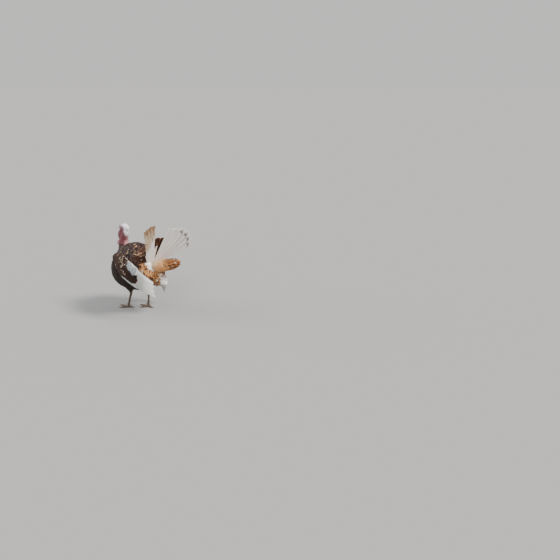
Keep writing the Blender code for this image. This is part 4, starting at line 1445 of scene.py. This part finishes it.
def scuted(points, path, pitch, back, relief):
    """Each point's lift by the plates of a limb, the mask of the creases' painted shade, the mask of the
    plates, and its distance.
    """
    centres = HOME + path[:, :3]
    steps = np.concatenate([[0], np.cumsum(np.linalg.norm(np.diff(centres, axis=0), axis=1))])
    off = points[:, None] - centres[None]
    far = np.linalg.norm(off, axis=2)
    near = far.argmin(axis=1)
    every = np.arange(len(points))
    along = unit(np.gradient(centres, axis=0))
    place = steps[near] + (off[every, near] * along[near]).sum(1)
    facing = (unit(off[every, near]) * back).sum(1)
    share = (place / pitch) % 1.0
    on_plate = ramp(facing, 0.15, 0.55)
    lift = relief * (np.minimum(share, 0.82) / 0.82) ** 0.7 * ramp(share, 1.0, 0.88) * on_plate
    # painted shade: each plate's end, under the next plate's edge, is darkened
    crease = 1 - 0.75 * ramp(np.abs(share - 0.96), 0.13, 0.03) * on_plate
    return lift, crease, on_plate, far.min(axis=1) / path[near, 3]


def merged(forms):
    """Overlapping forms as one even skin of small faces, then smoothed: its points and faces."""
    points, quads = join_rings(forms)
    rough = add_mesh("rough_form", points, quads, LEG_FINISH)
    step = rough.modifiers.new("one_skin", "REMESH")
    step.mode = "VOXEL"
    step.voxel_size = LEG_GRAIN
    made = bpy.data.meshes.new_from_object(rough.evaluated_get(bpy.context.evaluated_depsgraph_get()))
    points = np.zeros(len(made.vertices) * 3)
    made.vertices.foreach_get("co", points)
    points = points.reshape(-1, 3)
    quads = np.array([tuple(face.vertices) for face in made.polygons if len(face.vertices) == 4])
    bpy.data.objects.remove(rough)
    bpy.data.meshes.remove(made)
    ends = np.concatenate([quads[:, [0, 1]], quads[:, [1, 2]], quads[:, [2, 3]], quads[:, [3, 0]]])
    for _ in range(6):
        total = np.zeros_like(points)
        times = np.zeros(len(points))
        np.add.at(total, ends[:, 0], points[ends[:, 1]])
        np.add.at(times, ends[:, 0], 1)
        points = points * 0.5 + total / np.maximum(times, 1)[:, None] * 0.5
    return points, quads


def make_leg(tag, foot, side, lean):
    """A shank and four toes in one scaled skin, with a round ball where they meet."""
    shank = leg_stations(foot, side, lean)
    toes = [toe_stations(foot, side, turn, length) for turn, length in TOES]
    ball = []
    for a in np.linspace(0.05, 3.09, 9):
        ball.append((foot[0], foot[1] + 0.0150 * math.cos(a), 0.0128, 0.0142 * math.sin(a)))
    forms = [closed_tube(shank, 40, 24)]
    forms += [closed_tube(rows, 30, 20) for rows, _ in toes]
    forms.append(closed_tube(ball, 24, 24))
    points, quads = merged(forms)
    limbs = [(spline(shank, 60), 0.0075, np.array([0, -1.0, 0]), 0.0008)]
    limbs += [(spline(rows, 40), 0.0048, np.array([0, 0, 1.0]), 0.0006) for rows, _ in toes]
    found = [scuted(points, *limb) for limb in limbs]
    best = np.argmin([far for *_, far in found], axis=0)
    pick = np.arange(len(points))
    lift, crease, plate = (np.array([one[k] for one in found])[best, pick] for k in range(3))
    outward = np.zeros_like(points)
    for n, (path, *_) in enumerate(limbs):
        mine = best == n
        centre = HOME + path[:, :3]
        near = np.linalg.norm(points[mine][:, None] - centre[None], axis=2).argmin(axis=1)
        outward[mine] = unit(points[mine] - centre[near])
    knobs = np.maximum(wobble(points, 900, 6), 0) * 0.0006 * (1 - plate)
    points = points + outward * (lift + knobs)[:, None]
    points[:, 2] = np.maximum(points[:, 2], 0.0)
    # scute holds the painted shade of the plates' creases, then the plates
    scute = np.stack([crease, plate * 0.8, plate], 1)
    leg = add_mesh("leg_skin_" + tag, points, quads, LEG_FINISH, None, {"scute": scute})
    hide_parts("foot_" + tag, "shank_" + tag)
    make_claws(tag, foot, toes)


def make_claws(tag, foot, toes):
    claws = []
    sizes = ((0.0058, 0.0040), (0.0072, 0.0040), (0.0066, 0.0029), (0.0042, 0.0016), (0.0016, 0.0003))
    for (_, length), (_, way) in zip(TOES, toes):
        reach = [length * 0.88 + CLAW_LENGTH * k for k in (0.0, 0.35, 0.7, 1.0, 1.28)]
        path = [(foot[0] + way[0] * d, foot[1] + way[1] * d, z, r) for d, (z, r) in zip(reach, sizes)]
        claws.append(closed_tube(path, 22, 14, 0.8))
    points, quads = join_rings(claws)
    add_mesh("claws_" + tag, points, quads, CLAW_FINISH)


def give_finish(node, finish):
    """A new finish in each slot of a solid that stays as it is."""
    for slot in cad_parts[node].material_slots:
        slot.material = finish
    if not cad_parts[node].material_slots:
        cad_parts[node].data.materials.append(finish)


def make_beak():
    """Both halves of the beak: a ridged, hooked upper one with nostrils and a plain lower one."""
    t = np.linspace(0, 1, 40)[:, None]
    angle = full_turn(44)[None]
    halves = (("beak_upper", BILL_LENGTH, 1, 0.0115), ("beak_lower", BILL_LENGTH * 0.84, -1, 0.0070))
    for name, length, sign, depth in halves:
        half = 0.0104 * np.maximum(1 - t**1.7, 0) ** 0.8 + 0.0005
        top = np.maximum(np.cos(angle), 0) ** 0.85
        high = depth * np.maximum(1 - t**2.0, 0) ** 0.75 + 0.0006
        x = half * np.sin(angle) * (1 - 0.12 * top)
        z = high * top + 0.0009 * np.minimum(np.cos(angle), 0)
        z = z + sign * 0.5 * 0.0006 * (1 - np.abs(np.sin(angle))) * top
        off = ((t - 0.22) / 0.055) ** 2 + ((np.abs(np.sin(angle)) - 0.72) / 0.13) ** 2
        nostril = np.exp(-off) * (top > 0.05)
        x = x - np.sign(np.sin(angle)) * 0.0021 * nostril * (sign > 0)
        hook = -0.007 * t**2.2 if sign > 0 else -0.0035 * t**2.0
        y = BILL_ROOT[0] - length * t + 0 * angle
        rings = closed_rings(HOME + np.stack([x, y, BILL_ROOT[1] + sign * (z + 0.0002) + hook], -1))
        points, quads = join_rings([rings])
        forward = np.clip(t * 1.4, 0, 1) + 0 * angle
        # the mask's second part is the nostrils' painted shade
        mask = np.stack([forward, 1 - 0.85 * nostril * (sign > 0), forward], -1).reshape(-1, 3)
        piece = add_mesh(name.replace("beak", "bill"), points, quads, BILL_FINISH, None, {"mask": mask})
        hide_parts(name)


def fleshy(name, points, lift, tint, nodes):
    """A soft red form: rings lifted by its folds, with its own tint."""
    sheet = Sheet(points, True, WHOLE)
    points, quads = join_rings([closed_rings(points + sheet.normal * lift[..., None])])
    piece = add_mesh(name, points, quads, WATTLE_SKIN, None, {"tint": tint})
    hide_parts(*nodes)


def make_snood():
    """The ringed finger of flesh that hangs past the bill."""
    stations = (
        (-0.002, -0.106, 0.6830, 0.0030),
        (-0.004, -0.118, 0.6835, 0.0056),
        (-0.014, -0.128, 0.676, 0.0056),
        (-0.022, -0.132, 0.655, 0.0056),
        (-0.022, -0.131, 0.628, 0.0062),
        (-0.020, -0.129, 0.604, 0.0058),
        (-0.019, -0.128, 0.590, 0.0016),
    )
    points = round_sheet(stations, 110, 28).points
    flat = points.reshape(-1, 3)
    turn = np.linspace(0, 1, 110)[:, None]
    rings = 0.0006 * np.sin(turn * 250 + 1.4 * wobble(flat, 420, 4).reshape(points.shape[:2]))
    grain = 0.5 + 0.5 * wobble(flat, 500, 8)
    fleshy("snood_flesh", points, rings, blend(WINE * 1.2, FLESH_PINK * 0.7, grain * 0.35), ["snood"])


def make_dewlap():
    """The folded flap of skin below the chin."""
    stations = (
        (0.0, -0.098, 0.660, 0.006),
        (0.0, -0.110, 0.642, 0.018),
        (0.0, -0.117, 0.616, 0.026),
        (0.0, -0.116, 0.590, 0.027),
        (0.0, -0.111, 0.568, 0.019),
        (0.0, -0.107, 0.557, 0.004),
    )
    points = round_sheet(stations, 100, 90, 0.42).points
    flat = points.reshape(-1, 3)
    drape = wobble(flat * np.array([0.6, 1.0, 0.22]), 560, 21)
    warts = np.maximum(wobble(flat, 640, 22), 0)
    tint = blend(WINE * 0.95, FLESH_PINK * 0.55, ramp(drape, 0.2, 1.0) * 0.35)
    tint = blend(tint, FLESH_PINK, ramp(wobble(flat, 300, 23), 0.55, 0.95) * 0.35)
    lift = (0.0014 * drape + 0.0009 * warts).reshape(points.shape[:2])
    fleshy("dewlap_folds", points, lift, tint, ["dewlap"])


def make_throat_lobes(lobes=46):
    """The cluster of round warty lobes at the throat."""
    v = np.linspace(0, math.pi, 84)[:, None]
    u = full_turn(110)[None]
    ball = np.stack([np.sin(v) * np.cos(u), np.sin(v) * np.sin(u), np.cos(v) + 0 * u], -1)
    pick = np.random.default_rng(9)
    seeds = unit(pick.normal(size=(lobes, 3)) * np.array([1, 1, 0.8]))
    away = np.linalg.norm(ball[:, :, None] - seeds, axis=3)
    size = pick.uniform(0.6, 1.0, lobes)
    rise = size * np.sqrt(np.maximum(1 - (away / pick.uniform(0.34, 0.46, lobes)) ** 2, 0))
    lobe = rise.max(axis=2)
    points = HOME + np.array(LOBES_CENTRE) + ball * np.array(LOBES_SIZE)
    tint = blend(WINE, FLESH_PINK * 1.1, lobe.reshape(-1) * 0.75)
    fleshy("throat_caruncles", points, lobe * 0.0068 - 0.003, tint, ["caruncles"])


def make_lids():
    """A wrinkled ring of lid round each eye, almond-shaped and open."""
    around, through = 60, 14
    a = full_turn(around)[:, None]
    b = full_turn(through)[None]
    ring = grid_quads(around + 1, through, True) % (around * through)
    for tag, side in (("left", 1), ("right", -1)):
        centre = HOME + np.array([side * EYE_CENTRE[0], EYE_CENTRE[1], EYE_CENTRE[2]])
        points = []
        for size, wide, wrinkle, rise in ((0.00515, 0.00125, 0.0, 0.60), (0.0068, 0.0011, 0.22, 0.47)):
            grow = wide * (1 + wrinkle * np.sin(a * 19))
            out = size + grow * np.cos(b)
            rim = EYE_RADIUS * rise + grow * np.sin(b)
            y, z = out * np.cos(a) * 1.10, out * np.sin(a) * 0.88 - 0.0003
            points.append((centre + np.stack([side * rim, y, z], -1)).reshape(-1, 3))
        points = np.concatenate(points)
        quads = np.concatenate([ring, ring + around * through])
        tint = np.tile(FACE_MAUVE * 0.55, (len(points), 1))
        piece = add_mesh("eyelids_" + tag, points, quads, BARE_SKIN, None, {"tint": tint})


def make_beard():
    """A tuft of long coarse black bristles hanging from the breast."""
    stations = (
        (0.0, -0.170, 0.398, 0.004),
        (0.0, -0.203, 0.391, 0.006),
        (0.0, -0.219, 0.352, 0.0075),
        (0.0, -0.221, 0.300, 0.0085),
        (0.0, -0.218, 0.262, 0.0085),
    )
    path = spline(stations, 26)
    pick = np.random.default_rng(19)
    forms = []
    for _ in range(BEARD_BRISTLES):
        turn, out = pick.uniform(0, 6.28), pick.uniform(0, 1) ** 0.5
        reach = pick.uniform(0.80, 1.0)
        rows = path[: max(int(26 * reach), 8)].copy()
        share = np.linspace(0, 1, len(rows))
        sway = 0.0016 * share * np.sin(share * pick.uniform(4, 10) + turn)
        rows[:, 0] += rows[:, 3] * out * math.cos(turn) * 1.15 + sway
        rows[:, 1] += rows[:, 3] * out * math.sin(turn) * 0.8 + sway
        rows[:, 3] = 0.00050 * (1 - share**4) + 0.00006
        forms.append(closed_tube(rows, len(rows), 5))
    points, quads = join_rings(forms)
    piece = add_mesh("beard_bristles", points, quads, BRISTLE_FINISH)
    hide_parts("beard")


def make_head_bristles(sheet):
    """Sparse stiff hairs on the bare neck and head."""

    def spacing(points):
        return np.where(bare_share(points) > 0.9, 0.0085, NOWHERE)

    u, v = sheet.scatter(spacing, 33, 24000)
    count = len(u)
    pick = np.random.default_rng(33)
    looks = flight_looks(count, 34, BLACK_BROWN, BLACK_BROWN * 1.5, 0.1)
    piece = lay_feathers(
        "neck_bristles", sheet, u, v, pick.uniform(0.003, 0.006, count), 0.0003, DOWN, looks,
        turn=pick.normal(0, 0.25, count), lift=0.0012, sink=0.0002, rows=4, columns=3,
    )


body_sheet = make_body_sheet()
vent_sheet = make_vent_sheet()
undertail_sheet = make_undertail_sheet()
undertail_core = Sheet(closed_rings(make_undertail_sheet(0.8).points[:20]), True, undertail_sheet.island)
thigh_sheets = [
    make_thigh_sheet(foot, hip_y, side, lean, (0.52 + 0.11 * n, 0.80, 0.1, 0.1))
    for n, (_, foot, hip_y, side, lean) in enumerate(LEGS)
]
wing_sheets = [make_wing_sheet(1), make_wing_sheet(-1)]
wing_roots = [Sheet(closed_rings(sheet.points[:35]), True, sheet.island) for sheet in wing_sheets]
make_skin([body_sheet, vent_sheet, undertail_core, *thigh_sheets, *wing_roots])
make_coat(body_sheet)
for tag, sheet, seed in (("left", thigh_sheets[0], 48), ("right", thigh_sheets[1], 49)):
    lay_thigh("coat_thigh_" + tag, sheet, seed)
lay_vent(vent_sheet)
lay_short_undertail(undertail_sheet)
lay_long_undertail(undertail_sheet)
lay_wing("left", wing_sheets[0], 1, 81)
lay_wing("right", wing_sheets[1], -1, 91)
lay_fan_feathers()
lay_fan_coverts()
lay_fan_base()
for tag, foot, _, side, lean in LEGS:
    make_leg(tag, foot, side, lean)
    give_finish("spur_" + tag, CLAW_FINISH)
    give_finish("eye_" + tag, EYE_FINISH)
make_beak()
make_snood()
make_dewlap()
make_throat_lobes()
make_lids()
make_beard()
make_head_bristles(body_sheet)


# ---- studio ----
def aimed(name, data, place, way):
    """A lamp or a camera at a place, looking along way."""
    holder = add_object(name, data)
    holder.location = place
    holder.rotation_mode = "QUATERNION"
    holder.rotation_quaternion = way.to_track_quat("-Z", "Y")
    return holder


def make_floor(size=60.0):
    """A pale floor that the bird stands on."""
    floor = bpy.data.meshes.new("floor")
    corners = [(-size, -size, 0), (size, -size, 0), (size, size, 0), (-size, size, 0)]
    floor.from_pydata(corners, [], [(0, 1, 2, 3)])
    floor.materials.append(floor_finish())
    ground = add_object("floor", floor)


def make_surround():
    """A soft pale light from all sides. The camera sees a plain backdrop in its place."""
    world = bpy.data.worlds.new("studio")
    world.use_nodes = True
    tree = world.node_tree
    surround = tree.nodes["Background"]
    give(tree, surround, Color=(0.97, 0.985, 1.0, 1.0), Strength=0.85)
    backdrop = tree.nodes.new("ShaderNodeBackground")
    give(tree, backdrop, Color=(0.72, 0.714, 0.705, 1.0))
    seen = tree.nodes.new("ShaderNodeMixShader")
    rays = tree.nodes.new("ShaderNodeLightPath")
    feed(tree, seen.inputs[0], rays.outputs["Is Camera Ray"])
    feed(tree, seen.inputs[1], surround.outputs[0])
    feed(tree, seen.inputs[2], backdrop.outputs[0])
    give(tree, tree.nodes["World Output"], Surface=seen.outputs[0])
    bpy.context.scene.world = world


def make_lamps():
    """A high key from behind and the right, and two weaker fills. Each: name, way, angle, power, colour."""
    lamps = (
        ("key", (-0.22, 0.75, 0.85), 16.0, 4.2, (1.0, 0.97, 0.92)),
        ("side", (0.95, 0.30, 0.75), 35.0, 1.4, (1.0, 0.98, 0.96)),
        ("front", (0.35, -0.95, 0.55), 40.0, 1.6, (0.95, 0.97, 1.0)),
    )
    for name, way, angle, power, colour in lamps:
        lamp = bpy.data.lights.new(name, "SUN")
        lamp.angle = math.radians(angle)
        lamp.energy = power
        lamp.color = colour
        aimed(name, lamp, Vector(way) * 4, -Vector(way))


def make_camera():
    """A standing person's view, looking down a little, with the bird left of the middle."""
    camera = bpy.data.cameras.new("camera")
    camera.lens = CAMERA_LENS
    camera.sensor_width = 36.0
    heading = math.atan2(-CAMERA_PLACE[1], -CAMERA_PLACE[0]) - math.radians(CAMERA_LEFT)
    down = math.radians(CAMERA_DOWN)
    look = Vector((math.cos(heading) * math.cos(down), math.sin(heading) * math.cos(down), -math.sin(down)))
    bpy.context.scene.camera = aimed("camera", camera, Vector(HOME) + Vector(CAMERA_PLACE), look)


make_camera()
make_floor()
make_surround()
make_lamps()

bpy.context.view_layer.update()
